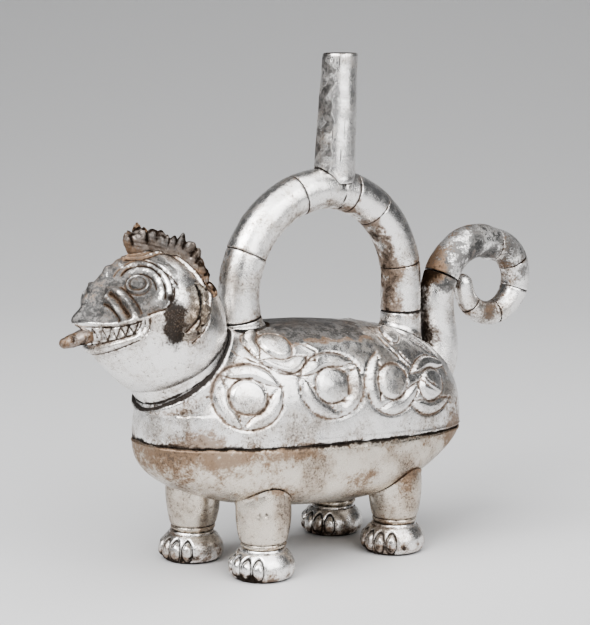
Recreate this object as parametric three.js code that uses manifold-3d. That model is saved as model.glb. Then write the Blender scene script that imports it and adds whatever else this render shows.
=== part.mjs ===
// Stirrup spout vessel of hammered sheet silver, in the shape of a standing feline.
// Millimetres, +Z up. The head looks along -X and the tail curls at +X.
// Every piece is sheet metal of true thickness, and a soldered joint is a gap of `seam`.

import * as THREE from "three";
import { mergeVertices } from "three/addons/utils/BufferGeometryUtils.js";
import Module from "manifold-3d";

const wasm = await Module();
wasm.setup();

// ---------------------------------------------------------------- driving dimensions

const degree = Math.PI / 180;
const seam = 0.3;
const wall = { body: 1.2, head: 1.2, tube: 1.1, leg: 1.2, frill: 1.1 };

// The body is two shells that meet on a seam plane, tilted up towards the chest.
const body = {
  centre: new THREE.Vector3(1, 0, 56.2),
  tilt: 3.5 * degree,
  halfLength: 81.7,
  halfWidth: 34.7,
  planPower: 2.5,
  rise: 48.0,
  drop: 30.2,
  chestPower: 3.1,
  rumpPower: 2.5,
  bellyFrontPower: 2.4,
  bellyRearPower: 1.6,
  bellySidePower: 3.2,
};

// The neck is an oval opening in the chest, on an axis that leans back.
const neck = {
  centre: new THREE.Vector3(-60.3, 0, 90.3),
  lean: 32 * degree,
  halfLength: 23.8,
  halfWidth: 20.6,
  lip: 1.3,
  flangeTop: -1.5,
};

// The head swells out of the neck round a centre on the neck's axis.
const head = {
  centre: new THREE.Vector3(-75, 0, 113.7),
  front: 31.8,
  back: 28.5,
  side: 25.5,
  up: 28.6,
  down: 28,
  nape: 6,
  facePower: 1.65,
  crowding: 0.42,
};

// The stirrup is an arch of round tube over the back.
const arch = {
  centreX: 12.2,
  centreZ: 116.7,
  radius: 43.9,
  tube: 8.9,
  startAngle: 191.5 * degree,
  endAngle: -17 * degree,
  seams: [155.3, 107.9, 70.8, 49.7, 10.3].map((angle) => angle * degree),
  sides: 12,
};

const spout = { baseX: 18.3, topX: 21.9, topZ: 218.6, baseRadius: 9.5, topRadius: 7.9, sides: 12 };

// The tail is a spiral whose radius grows away from its eye.
const tail = {
  eyeX: 108.6,
  eyeZ: 113.0,
  innerRadius: 15.9,
  growth: 9.0,
  unwindAngle: 87 * degree,
  straightAngle: 205 * degree,
  rootAngle: 262 * degree,
  rootBend: 17.6,
  tipAngle: -193 * degree,
  rootTube: 8.0,
  tipTube: 4.1,
  flare: 1.2,
  seams: [171.9, 83.3, 27.8, -20.9, -78.7, -136.9].map((angle) => angle * degree),
  sides: 10,
};

// Each leg is a bulging tube on a broad paw with a flat sole.
const legPlaces = [
  { name: "front_left", x: -32.8, y: -19.4 },
  { name: "front_right", x: -41.0, y: 22.6 },
  { name: "rear_left", x: 38.6, y: -18.8 },
  { name: "rear_right", x: 35.8, y: 22.6 },
];
const leg = { ankleHeight: 13, ankleRadius: 9.3, calfRadius: 11.7, calfHeight: 25, topRadius: 10.4 };
const paw = { radius: 14, forward: 0.8, waist: 9.9, fullHeight: 5.5, toes: 5, toeDepth: 0.9 };

// ---------------------------------------------------------------- solid helpers

/** Indexed geometry with merged vertices, no empty triangles and its faces pointing out. */
function closed(geometry) {
  const bare = new THREE.BufferGeometry();
  bare.setAttribute("position", geometry.getAttribute("position").clone());
  if (geometry.index) bare.setIndex(geometry.index.clone());
  const merged = mergeVertices(bare, 1e-4);
  const at = merged.getAttribute("position");
  const kept = [];
  let volume = 0;
  const [a, b, c] = [new THREE.Vector3(), new THREE.Vector3(), new THREE.Vector3()];
  for (let i = 0; i < merged.index.count; i += 3) {
    const corners = [0, 1, 2].map((k) => merged.index.getX(i + k));
    if (new Set(corners).size < 3) continue;
    kept.push(...corners);
    a.fromBufferAttribute(at, corners[0]);
    b.fromBufferAttribute(at, corners[1]);
    c.fromBufferAttribute(at, corners[2]);
    volume += a.dot(b.cross(c));
  }
  if (volume < 0) kept.reverse();
  merged.setIndex(kept);
  return merged;
}

/** A closed geometry as a solid that can be cut and joined. */
function solid(geometry) {
  const shape = closed(geometry);
  return new wasm.Manifold(new wasm.Mesh({
    numProp: 3,
    vertProperties: new Float32Array(shape.getAttribute("position").array),
    triVerts: new Uint32Array(shape.index.array),
  }));
}

/** A solid back as a geometry. */
function geometryOf(manifold) {
  const mesh = manifold.getMesh();
  const geometry = new THREE.BufferGeometry();
  geometry.setAttribute("position", new THREE.BufferAttribute(mesh.vertProperties, mesh.numProp));
  geometry.setIndex(new THREE.BufferAttribute(mesh.triVerts, 1));
  geometry.computeVertexNormals();
  return geometry;
}

/** Moves every vertex of a geometry to where `place` puts it. */
function reshape(geometry, place) {
  const at = geometry.getAttribute("position");
  const point = new THREE.Vector3();
  for (let i = 0; i < at.count; i++) {
    const moved = place(point.fromBufferAttribute(at, i));
    at.setXYZ(i, moved.x, moved.y, moved.z);
  }
  return geometry;
}

/** A turned profile of [radius, height] pairs, standing on +Z. */
function turned(profile, sides) {
  const points = profile.map(([radius, height]) => new THREE.Vector2(radius, height));
  return closed(new THREE.LatheGeometry(points, sides)).rotateX(Math.PI / 2);
}

const mix = THREE.MathUtils.lerp;
const smooth = THREE.MathUtils.smoothstep;
const signedPower = (value, power) => Math.sign(value) * Math.abs(value) ** power;

// ---------------------------------------------------------------- body shells

const bodyFrame = new THREE.Matrix4().makeRotationY(body.tilt).setPosition(body.centre);
const bodyFrameInverse = bodyFrame.clone().invert();

/** Point on the body's skin: angle round the plan, level from seam (0) to ridge (pi/2). */
function bodySkin(angle, level, offset, side) {
  const rearward = (1 + Math.cos(angle)) / 2;
  const power = side > 0
    ? mix(body.chestPower, body.rumpPower, rearward)
    : mix(
      mix(body.bellyFrontPower, body.bellyRearPower, rearward),
      body.bellySidePower,
      Math.sin(angle) ** 4,
    );
  const reach = Math.max(Math.cos(level), 0) ** (2 / power);
  const height = Math.sin(level) ** (2 / power);
  const tall = side > 0 ? body.rise : body.drop;
  return new THREE.Vector3(
    (body.halfLength + offset) * signedPower(Math.cos(angle), 2 / body.planPower) * reach,
    (body.halfWidth + offset) * signedPower(Math.sin(angle), 2 / body.planPower) * reach,
    side * (tall + offset) * height,
  );
}

/** Half of the body as a full solid, grown by `offset`, its flat side `below` past the seam. */
function bodyHalf(offset, side, around, levels, below) {
  const profile = [[0, -below], [1, -below]];
  if (below > 0) profile.push([1, 0]);
  for (let i = 1; i < levels; i++) {
    const level = (i / levels) * Math.PI / 2;
    profile.push([Math.cos(level), Math.sin(level)]);
  }
  profile.push([0, 1]);
  const dome = turned(profile, around);
  reshape(dome, (point) => {
    const radius = Math.hypot(point.x, point.y);
    const angle = Math.atan2(point.y, point.x);
    const level = point.z > 0 ? Math.atan2(point.z, radius) : 0;
    const skin = bodySkin(angle, level, offset, side);
    if (point.z <= 0) skin.multiplyScalar(radius).setZ(side * point.z);
    return skin.applyMatrix4(bodyFrame);
  });
  return solid(dome);
}

/** Oval cylinder on the neck's axis, from `low` to `high` along it, grown by `offset`. */
function neckSolid(offset, low, high, flare, sides) {
  const tube = closed(new THREE.CylinderGeometry(1, 1, high - low, sides)).rotateX(Math.PI / 2);
  reshape(tube, (point) => {
    const along = point.z + (low + high) / 2;
    const spread = offset + (point.z < 0 ? flare : 0);
    point.x *= neck.halfLength + spread;
    point.y *= neck.halfWidth + spread;
    point.z = along;
    return point;
  });
  tube.rotateY(-neck.lean).translate(neck.centre.x, neck.centre.y, neck.centre.z);
  return solid(tube);
}


/** Skin point and its directions on the left flank, `x` along the body and `z` above the seam. */
function flankPlace(x, z) {
  const { planPower: n, halfLength: a, halfWidth: b, rise } = body;
  let power = body.chestPower;
  let angle = 0;
  for (let round = 0; round < 6; round++) {
    const reach = (1 - (z / rise) ** power) ** (1 / power);
    const y = -b * Math.max(reach ** n - Math.abs(x / a) ** n, 0) ** (1 / n);
    angle = Math.atan2(signedPower(y / b, n / 2), signedPower(x / a, n / 2));
    power = mix(body.chestPower, body.rumpPower, (1 + Math.cos(angle)) / 2);
  }
  const level = Math.asin((z / rise) ** (power / 2));
  const step = 0.02;
  const at = bodySkin(angle, level, 0, 1);
  const rearward = bodySkin(angle + step, level, 0, 1).sub(at);
  const upward = bodySkin(angle, level + step, 0, 1).sub(at).normalize();
  const normal = rearward.cross(upward).normalize();
  const along = new THREE.Vector3().crossVectors(upward, normal).normalize();
  return new THREE.Matrix4().makeBasis(along, upward, normal).setPosition(at).premultiply(bodyFrame);
}

// Rosettes of the coat: a boss in a broken ring of three crescents. Places are along the body and
// above its seam, and each is as long and as tall as its factors say.
const rosette = {
  boss: 7.5,
  inner: 9.2,
  outer: 14.2,
  raised: 1.0,
  crown: 1.8,
  buried: 2,
  span: 108 * degree,
};
const rosettePlaces = [
  { x: -49, z: 21.5, turns: [90, 210, 330], long: 1.08, tall: 0.93 },
  { x: -32, z: 41.5, turns: [200, 320], long: 1.0, tall: 0.8 },
  { x: -8.5, z: 24.8, turns: [105, 225, 345], long: 1.14, tall: 0.96 },
  { x: 24.6, z: 24.6, turns: [165, 285], long: 1.05, tall: 0.98 },
  { x: 49, z: 21.5, turns: [75, 250], long: 1.1, tall: 0.88 },
];

/** How far a point lies outside the upper skin: below zero inside. */
function outsideSkin(point) {
  const { x, y, z } = point.clone().applyMatrix4(bodyFrameInverse);
  const { planPower: n, halfLength: a, halfWidth: b } = body;
  const angle = Math.atan2(signedPower(y / b, n / 2), signedPower(x / a, n / 2));
  const power = mix(body.chestPower, body.rumpPower, (1 + Math.cos(angle)) / 2);
  const reach = (Math.abs(x / a) ** n + Math.abs(y / b) ** n) ** (1 / n);
  return reach ** power + (Math.max(z, 0) / body.rise) ** power - 1;
}

/** Lays a flat geometry on the skin at a place: x along, y up and z outward from the skin. */
function layOnSkin(geometry, place) {
  const normal = new THREE.Vector3().setFromMatrixColumn(place, 2);
  return reshape(geometry, (point) => {
    const raised = point.z;
    const flat = point.clone().setZ(0).applyMatrix4(place);
    let [inner, outer] = [-14, 4];
    for (let round = 0; round < 24; round++) {
      const middle = (inner + outer) / 2;
      const inside = outsideSkin(flat.clone().addScaledVector(normal, middle)) < 0;
      if (inside) inner = middle;
      else outer = middle;
    }
    return flat.addScaledVector(normal, inner + raised);
  });
}

/** One crescent of a rosette, round the direction `turn`, as a flat pad. */
function crescentPad(turn) {
  const steps = 2;
  const outer = [];
  const inner = [];
  for (let i = -steps; i <= steps; i++) {
    const part = i / steps;
    const angle = turn + part * rosette.span / 2;
    const heading = new THREE.Vector2(Math.cos(angle), Math.sin(angle));
    outer.push(heading.clone().multiplyScalar(rosette.outer));
    if (Math.abs(part) < 1) {
      inner.push(heading.multiplyScalar(mix(rosette.inner, rosette.outer, part * part)));
    }
  }
  const shape = new THREE.Shape([...outer, ...inner.reverse()]);
  const depth = rosette.raised + rosette.buried;
  const pad = new THREE.ExtrudeGeometry(shape, { depth, bevelEnabled: false });
  return closed(pad.translate(0, 0, -rosette.buried));
}

/** The pads of one rosette, laid on the left flank or mirrored to the right. */
function rosettePads({ x, z, turns, long, tall }, mirrored) {
  const { boss, raised, crown, buried } = rosette;
  const disc = turned([[0, -buried], [boss, -buried], [boss, raised], [0, crown]], 9);
  const pads = [disc, ...turns.map((turn) => crescentPad(turn * degree))];
  return pads.map((pad) => {
    layOnSkin(pad.scale(long, tall, 1), flankPlace(x, z));
    if (mirrored) pad.scale(1, -1, 1);
    return solid(pad);
  });
}

/** Joins a list of solids. */
const joined = (solids) => solids.reduce((whole, next) => whole.add(next));

/** The raised pads of all the rosettes, on both flanks. */
function coat() {
  return joined([false, true].flatMap((mirrored) =>
    rosettePlaces.flatMap((place) => rosettePads(place, mirrored))));
}

// ---------------------------------------------------------------- bent tubes

/** Sheet tube along a curve in the XZ plane: `at(s)` gives its centre, `radius(s)` its outside. */
function bentTube({ at, radius, from, to, steps, sides, thickness = wall.tube }) {
  const outside = 2;
  const inside = 1;
  const pinhole = 0.25;
  const rows = Array.from({ length: steps + 1 }, (_, i) => i / steps);
  const profile = [
    ...rows.map((row) => [outside, row]),
    ...rows.map((row) => [inside, row]).reverse(),
    [outside, 0],
  ];
  return closed(reshape(turned(profile, sides), (point) => {
    const s = mix(from, to, point.z);
    const angle = Math.atan2(point.y, point.x);
    const sheet = Math.hypot(point.x, point.y) < 1.5 ? thickness : 0;
    const step = 1e-3;
    const along = at(s + step).sub(at(s - step)).normalize();
    const out = new THREE.Vector3(along.z, 0, -along.x);
    const reach = Math.max(radius(s) - sheet, pinhole);
    return at(s)
      .addScaledVector(out, Math.cos(angle) * reach)
      .add(new THREE.Vector3(0, Math.sin(angle) * reach, 0));
  }));
}

// ---------------------------------------------------------------- stirrup

/** Centre of the arch tube at an angle round the arch, whose rear leg drops straight. */
function archPoint(angle) {
  const round = Math.max(angle, 0);
  return new THREE.Vector3(
    arch.centreX + arch.radius * Math.cos(round),
    0,
    arch.centreZ + arch.radius * (Math.sin(round) + angle - round),
  );
}

/** A length of the arch between two angles, kept clear of its neighbours. */
function archSection(from, to) {
  const clear = seam / 2 / arch.radius;
  const steps = Math.max(2, Math.round((from - to) / (13 * degree)));
  return bentTube({
    at: archPoint,
    radius: () => arch.tube,
    from: from - clear,
    to: to + clear,
    steps,
    sides: arch.sides,
  });
}

/** Straight rod that carries one foot of the arch on, from `near` to `far` beyond its end. */
function archFoot(angle, turning, near, far, radius, sides) {
  const top = archPoint(angle);
  const down = archPoint(angle - turning * 1e-3).sub(top).normalize();
  const rod = closed(new THREE.CylinderGeometry(radius, radius, far - near, sides));
  rod.rotateX(Math.PI / 2).translate(0, 0, -(near + far) / 2);
  const aim = new THREE.Quaternion().setFromUnitVectors(new THREE.Vector3(0, 0, -1), down);
  rod.applyQuaternion(aim).translate(top.x, top.y, top.z);
  return solid(rod);
}

// ---------------------------------------------------------------- head

/** Direction from the head's centre: `turn` round from straight ahead, `lift` above level. */
function headDirection(turn, lift) {
  return new THREE.Vector3(
    -Math.cos(lift * degree) * Math.cos(turn * degree),
    -Math.cos(lift * degree) * Math.sin(turn * degree),
    Math.sin(lift * degree),
  );
}

/** Distance from the head's centre to its plain skull in a direction. */
function skullRadius(direction) {
  const long = direction.x < 0 ? head.front : head.back;
  const tall = direction.z > 0 ? head.up : head.down;
  const power = direction.x < 0 ? head.facePower : 2;
  const round = (Math.abs(direction.x / long) ** power
    + Math.abs(direction.y / head.side) ** power) ** (1 / power);
  const ovoid = 1 / Math.hypot(round, direction.z / tall);
  const towardsNeck = Math.sin(neck.lean) * direction.x - Math.cos(neck.lean) * direction.z;
  return ovoid + head.nape * smooth(towardsNeck, 0.1, 1);
}

/** Point of the plain skull, measured from the head's centre. */
function skullPoint(turn, lift) {
  const direction = headDirection(turn, lift);
  return direction.multiplyScalar(skullRadius(direction));
}

// Raised lines and bosses of the face, on both sides: [turn, lift] points, half width, height.
const faceRelief = [
  { name: "nose ridge", line: [[0, 60], [0, 30], [0, 6]], half: 4.2, height: 0.8 },
  { name: "brow knob", line: [[0, 54]], half: 2.8, height: 0.9 },
  { name: "upper nose knob", line: [[0, 45.5]], half: 2.6, height: 1.4 },
  { name: "lower nose knob", line: [[0, 26]], half: 2.8, height: 1.6 },
  { name: "nose tip knob", line: [[0, 16]], half: 2.8, height: 1.4 },
  { name: "snout point", line: [[0, 3]], half: 3.8, height: 5.0 },
  { name: "eye", line: [[45, 37.5]], half: 5.0, height: 1.5 },
  { name: "nostril fold", line: [[26, 27], [38, 19], [48, 6]], half: 3.0, height: 2.2 },
  { name: "upper lip", line: [[0, -1], [13, 0], [29, 1], [40, 3.5], [50, 7]], half: 2.2, height: 1.4 },
  { name: "lower lip", line: [[0, -21], [13, -20], [31, -15.5], [48, -9.5]], half: 2.6, height: 2.4 },
  { name: "brow", line: [[15, 45], [28, 60], [52, 61], [70, 51], [77, 36], [76, 22]], half: 2.4, height: 0.9 },
].map(({ line, half, height }) => ({
  half,
  height,
  points: line.map(([turn, lift]) => skullPoint(turn, lift)),
}));

/** Height of all the face relief at a skull point. */
function reliefHeight(point) {
  const nearSide = new THREE.Vector3(point.x, -Math.abs(point.y), point.z);
  let height = 0;
  for (const ridge of faceRelief) {
    const { points } = ridge;
    let nearest = nearSide.distanceTo(points[0]);
    for (let i = 1; i < points.length; i++) {
      const closest = new THREE.Line3(points[i - 1], points[i])
        .closestPointToPoint(nearSide, true, new THREE.Vector3());
      nearest = Math.min(nearest, nearSide.distanceTo(closest));
    }
    height += ridge.height * Math.exp(-((nearest / ridge.half) ** 2));
  }
  return height;
}

/** Full head without its neck, grown by `offset`, with its rings crowded on to the face. */
function headBulb(offset, carved, around, rings) {
  const ball = closed(new THREE.SphereGeometry(1, around, rings)).rotateZ(Math.PI / 2);
  reshape(ball, (point) => {
    point.normalize();
    const fromFace = Math.acos(THREE.MathUtils.clamp(-point.x, -1, 1));
    const crowded = fromFace - head.crowding * Math.sin(fromFace);
    const flat = Math.hypot(point.y, point.z) || 1;
    point.set(
      -Math.cos(crowded),
      Math.sin(crowded) * point.y / flat,
      Math.sin(crowded) * point.z / flat,
    );
    const reach = skullRadius(point);
    const skull = point.clone().multiplyScalar(reach);
    const relief = carved ? reliefHeight(skull) : 0;
    return skull.multiplyScalar((reach + relief + offset) / reach).add(head.centre);
  });
  return solid(ball);
}

// The crest is a scalloped strip along the hairline, from one ear over the brow to the other.
const crest = { lobes: 12, tall: 11.4, lean: 0.5, foot: 0.55, low: 0.38, tapered: 0.3 };
const hairline = new THREE.CatmullRomCurve3([
  [130, 18], [125, 36], [122, 56], [105, 69], [55, 79], [0, 68],
  [-55, 79], [-105, 69], [-122, 56], [-125, 36], [-130, 18],
].map(([turn, lift]) => skullPoint(turn, lift)));

// The ears are ruffled leaves of sheet that stand out from the sides of the head.
const ear = { tall: 9.0, foot: 0.7, ruffles: 3 };
const earRoot = new THREE.CatmullRomCurve3([
  [112, 34], [112, 20], [107, 4], [98, -10], [86, -15],
].map(([turn, lift]) => skullPoint(turn, lift)));

/** Strip of sheet that stands on the head along a curve from the head's centre. */
function headStrip({ root, from, to, segments, rise, sway, foot, mirror }) {
  const strip = closed(new THREE.BoxGeometry(1, 1, 1, segments, 1, 1));
  return closed(reshape(strip, (point) => {
    const u = point.x + 0.5;
    const v = point.y + 0.5;
    const s = mix(from, to, u);
    const base = root.getPoint(s);
    const out = base.clone().normalize();
    const along = root.getTangent(s);
    const across = new THREE.Vector3().crossVectors(along, out).normalize();
    const reach = skullRadius(out) + reliefHeight(out.clone().multiplyScalar(skullRadius(out)));
    const height = foot + v * rise(u);
    const moved = out.multiplyScalar(reach + height)
      .addScaledVector(across, sway(u, v) + point.z * wall.frill);
    if (mirror) moved.y = -moved.y;
    return moved.add(head.centre);
  }));
}

// The tongue hangs out of the mouth.
const tongue = {
  root: new THREE.Vector3(-98, 0, 110.1),
  tip: new THREE.Vector3(-118.5, 0, 105.7),
  rootRadius: 4.9,
  tipRadius: 2.4,
  flat: 0.95,
};

// ---------------------------------------------------------------- tail

/** Centre of the tail tube at an angle round its eye: a spiral, then a root bent into the rump. */
function tailPoint(angle) {
  const curled = Math.min(angle, tail.straightAngle);
  const rooted = angle - curled;
  const reach = tail.innerRadius + tail.growth * Math.max(curled - tail.unwindAngle, 0);
  const [cos, sin] = [Math.cos(curled), Math.sin(curled)];
  return new THREE.Vector3(
    tail.eyeX + reach * cos + (tail.growth * cos - reach * sin) * rooted - tail.rootBend * rooted ** 3,
    0,
    tail.eyeZ + reach * sin + (tail.growth * sin + reach * cos) * rooted,
  );
}

/** Outer radius of the tail tube at an angle. */
function tailRadius(angle) {
  const gone = THREE.MathUtils.clamp((150 * degree - angle) / (343 * degree), 0, 1);
  const plain = mix(tail.rootTube, tail.tipTube, gone ** 1.25);
  const root = smooth(angle, tail.straightAngle, tail.straightAngle + 40 * degree);
  const toTip = (angle - tail.tipAngle) * tail.innerRadius;
  const rounded = toTip < plain ? Math.sqrt(Math.max(1 - (1 - toTip / plain) ** 2, 0.02)) : 1;
  return plain * rounded + tail.flare * root;
}

/** A length of the tail between two angles. */
function tailSection(from, to, steps) {
  const clear = seam / 2 / tail.innerRadius;
  return bentTube({
    at: tailPoint,
    radius: tailRadius,
    from: from - clear,
    to: to + clear,
    steps,
    sides: tail.sides,
  });
}

// ---------------------------------------------------------------- legs and paws

/** Sheet tube of one leg, from inside the belly down to the ankle. */
function legTube({ x, y }) {
  const low = leg.ankleHeight + seam;
  const rows = [
    [leg.ankleRadius, low],
    [leg.ankleRadius + 1.5, mix(low, leg.calfHeight, 0.5)],
    [leg.calfRadius, leg.calfHeight],
    [leg.topRadius, 42],
  ];
  const profile = [...rows, ...rows.map(([radius, z]) => [radius - wall.leg, z]).reverse(), rows[0]];
  return solid(turned(profile, 10).translate(x, y, 0));
}

/** Outside of one paw, full: a flat sole, a round instep and grooved toes in front. */
function pawSolid({ x, y }, sides) {
  const { radius, fullHeight, waist, toes, toeDepth, forward } = paw;
  const profile = [
    [0, 0], [radius * 0.82, 0], [radius, fullHeight * 0.7], [radius * 0.95, 9],
    [waist, leg.ankleHeight], [0, leg.ankleHeight],
  ];
  const shape = turned(profile, sides);
  reshape(shape, (point) => {
    const ahead = Math.atan2(point.y, -point.x);
    const outside = Math.hypot(point.x, point.y) / radius;
    const inToes = smooth(outside, 0.8, 0.9) * (Math.abs(ahead) < toes * 15.5 * degree ? 1 : 0);
    const groove = inToes * toeDepth * (1 - Math.abs(Math.cos(ahead * 6))) ;
    const grown = 1 - groove / radius;
    point.x = point.x * grown - forward * outside;
    point.y *= grown;
    return point;
  });
  return solid(shape.translate(x, y, 0));
}

/** One paw of sheet, closed by its sole and open up into the leg. */
function pawSheet(place) {
  const { radius, waist, fullHeight } = paw;
  const hollow = turned([
    [0, wall.leg], [radius * 0.78, wall.leg], [radius - 2.4, fullHeight],
    [waist - wall.leg, leg.ankleHeight + 2], [0, leg.ankleHeight + 2],
  ], 10);
  return pawSolid(place, 24).subtract(solid(hollow.translate(place.x - paw.forward / 2, place.y, 0)));
}

// ---------------------------------------------------------------- assembly

const vessel = new THREE.Group();
const silver = { body: 0xd6d3ce, belly: 0xcfc9be, brown: 0x8f8274 };

/** Adds one piece to the vessel, with its own silver. */
function addPiece(name, shape, color, roughness) {
  const geometry = shape.isBufferGeometry ? shape : geometryOf(shape);
  const material = new THREE.MeshStandardMaterial({ color, roughness, metalness: 0.95 });
  const mesh = new THREE.Mesh(geometry, material);
  mesh.name = name;
  vessel.add(mesh);
}

const facets = { around: 30, upper: 6, lower: 5 };
const outerUpper = bodyHalf(0, 1, facets.around, facets.upper, 0);
const outerLower = bodyHalf(0, -1, facets.around, facets.lower, 0);
const clearUpper = bodyHalf(seam, 1, facets.around, facets.upper, 0);
const clearLower = bodyHalf(seam, -1, facets.around, facets.lower, 0).translate(0, 0, -seam);

/** Upper shell: rosettes outside, open below, at the neck and into both legs of the stirrup. */
function upperShell() {
  const neckLip = neckSolid(neck.lip, -7, -0.5, 5, 24);
  const hollow = bodyHalf(-wall.body, 1, 24, 5, 1);
  const bore = arch.tube - wall.tube;
  return outerUpper
    .add(coat())
    .add(neckLip)
    .subtract(hollow)
    .subtract(neckSolid(seam, -24, 30, 0, 24))
    .subtract(archFoot(arch.startAngle, -1, -2, 22, bore, 10))
    .subtract(archFoot(arch.endAngle, 1, -2, 22, bore, 10));
}

/** Lower shell: the belly, open above. */
const lowerShell = () => outerLower.subtract(bodyHalf(-wall.body, -1, 24, 4, 1));

addPiece("body_upper_shell", upperShell(), silver.body, 0.25);
addPiece("body_lower_shell", lowerShell().translate(0, 0, -seam), silver.belly, 0.35);

/** Head: one shell of sheet, closed at the crown and open down through its neck. */
function headShell() {
  const length = 22;
  const bulb = headBulb(0, true, 36, 18).intersect(neckSolid(20, neck.flangeTop + 3, 80, 0, 8));
  const outside = bulb.add(neckSolid(0, -4, length, 0, 24));
  const inside = headBulb(-wall.head, false, 16, 8)
    .intersect(neckSolid(20, neck.flangeTop + 4.2, 80, 0, 8))
    .add(neckSolid(-wall.head, -6, length - 4, 0, 14));
  return outside.subtract(inside);
}

/** Tongue: a tapering cone that sticks out of the mouth and dips at its tip. */
function tongueSolid() {
  const { root, tip, rootRadius, tipRadius, flat } = tongue;
  const length = root.distanceTo(tip);
  const cone = turned([
    [0, 0], [rootRadius, 0], [mix(rootRadius, tipRadius, 0.55), length * 0.55],
    [tipRadius, length - tipRadius], [tipRadius * 0.6, length - 0.4], [0, length],
  ], 12).scale(flat, 1, 1);
  const aim = new THREE.Quaternion().setFromUnitVectors(
    new THREE.Vector3(0, 0, 1), tip.clone().sub(root).normalize());
  cone.rotateZ(Math.PI / 2).applyQuaternion(aim).translate(root.x, root.y, root.z);
  return solid(cone).subtract(headBulb(seam, true, 36, 18));
}

addPiece("head", headShell(), silver.body, 0.25);
addPiece("tongue", tongueSolid(), silver.brown, 0.4);

const lobed = (u, lobes) => 0.68 + 0.32 * Math.abs(Math.sin(u * lobes * Math.PI));
const tapered = (u) => mix(crest.low, 1, smooth(Math.min(u, 1 - u), 0, crest.tapered));
addPiece("crest", headStrip({
  root: hairline,
  from: 0,
  to: 1,
  segments: crest.lobes * 4,
  rise: (u) => crest.tall * lobed(u, crest.lobes) * tapered(u),
  sway: (u, v) => crest.lean * v * Math.sin(u * crest.lobes * 2 * Math.PI),
  foot: crest.foot,
  mirror: false,
}), silver.brown, 0.45);
for (const side of ["left", "right"]) {
  addPiece(`ear_${side}`, headStrip({
    root: earRoot,
    from: 0,
    to: 1,
    segments: 12,
    rise: (u) => ear.tall * (0.45 + 0.55 * Math.sin(Math.PI * u)) * lobed(u, ear.ruffles),
    sway: (u, v) => v * v * 5,
    foot: ear.foot,
    mirror: side === "right",
  }), silver.brown, 0.4);
}

// Stirrup: a collar and a leg at each foot, two quarter bends, and two lengths under the spout.
const [lowLeft, highLeft, underSpout, highRight, lowRight] = arch.seams;
const bore = arch.tube - wall.tube;
const spoutBore = spoutTube(spout.baseRadius - wall.tube - 0.6, 0, 8);
const sections = [
  ["stirrup_leg_front", archSection(arch.startAngle, lowLeft)],
  ["stirrup_bend_front", archSection(lowLeft, highLeft)],
  ["stirrup_crown_front", archSection(highLeft, underSpout)],
  ["stirrup_crown_rear", archSection(underSpout, highRight)],
  ["stirrup_bend_rear", archSection(highRight, lowRight)],
  ["stirrup_leg_rear", archSection(lowRight, arch.endAngle)],
];
for (const [name, geometry] of sections) {
  const crown = name.startsWith("stirrup_crown");
  addPiece(name, crown ? solid(geometry).subtract(spoutBore) : geometry, silver.body, 0.25);
}

for (const [name, angle, turning] of [["front", arch.startAngle, -1], ["rear", arch.endAngle, 1]]) {
  const ring = archFoot(angle, turning, seam, 12, arch.tube + 0.7, arch.sides)
    .subtract(archFoot(angle, turning, -2, 14, bore, 10))
    .subtract(clearUpper);
  addPiece(`stirrup_collar_${name}`, ring, silver.brown, 0.35);
}

/** Spout as a full solid with this radius at its base, from `below` the arch's top upwards. */
function spoutTube(baseRadius, below, sides) {
  const archTop = arch.centreZ + arch.radius;
  const foot = archTop + below;
  const narrowed = spout.baseRadius - spout.topRadius;
  const rod = closed(new THREE.CylinderGeometry(
    baseRadius - narrowed, baseRadius, spout.topZ - foot, sides)).rotateX(Math.PI / 2);
  reshape(rod, (point) => {
    const up = (point.z + (spout.topZ - foot) / 2);
    point.x += mix(spout.baseX, spout.topX, up / (spout.topZ - foot));
    point.z = foot + up;
    return point;
  });
  return solid(rod);
}

/** The arch's tube over its crown, full, grown by the seam. */
function crownClear() {
  const rod = bentTube({
    at: archPoint,
    radius: () => arch.tube + seam,
    from: 108 * degree,
    to: 60 * degree,
    steps: 4,
    sides: arch.sides,
    thickness: 7.6,
  });
  return solid(rod);
}

const spoutSheet = spoutTube(spout.baseRadius, 2.2, spout.sides)
  .subtract(spoutTube(spout.baseRadius - wall.tube, 0, spout.sides).translate(0, 0, 1))
  .subtract(crownClear());
addPiece("spout", spoutSheet, silver.body, 0.25);

// Tail: seven lengths, the first flared on to the rump and the last closed at its tip.
const tailAngles = [tail.rootAngle, ...tail.seams, tail.tipAngle];
const tailSteps = [7, 6, 3, 2, 3, 3, 4];
tailSteps.forEach((steps, i) => {
  const piece = tailSection(tailAngles[i], tailAngles[i + 1], steps);
  const fitted = i === 0 ? solid(piece).subtract(clearUpper) : piece;
  addPiece(`tail_length_${i + 1}`, fitted, silver.body, 0.3);
});

for (const place of legPlaces) {
  addPiece(`leg_${place.name}`, legTube(place).subtract(clearLower), silver.belly, 0.3);
  addPiece(`paw_${place.name}`, pawSheet(place), silver.body, 0.3);
}

// The origin is under the middle of the vessel, at the level of its soles.
const bounds = new THREE.Box3().setFromObject(vessel);
const middle = bounds.getCenter(new THREE.Vector3());
vessel.position.set(-middle.x, -middle.y, -bounds.min.z);

export default vessel;
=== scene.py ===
"""Silver stirrup spout vessel in the shape of a feline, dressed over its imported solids.

The sizes are in millimetres on the vessel's own drawing axes, and `row` turns them into the frame's.
"""
import math
from functools import partial

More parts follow.
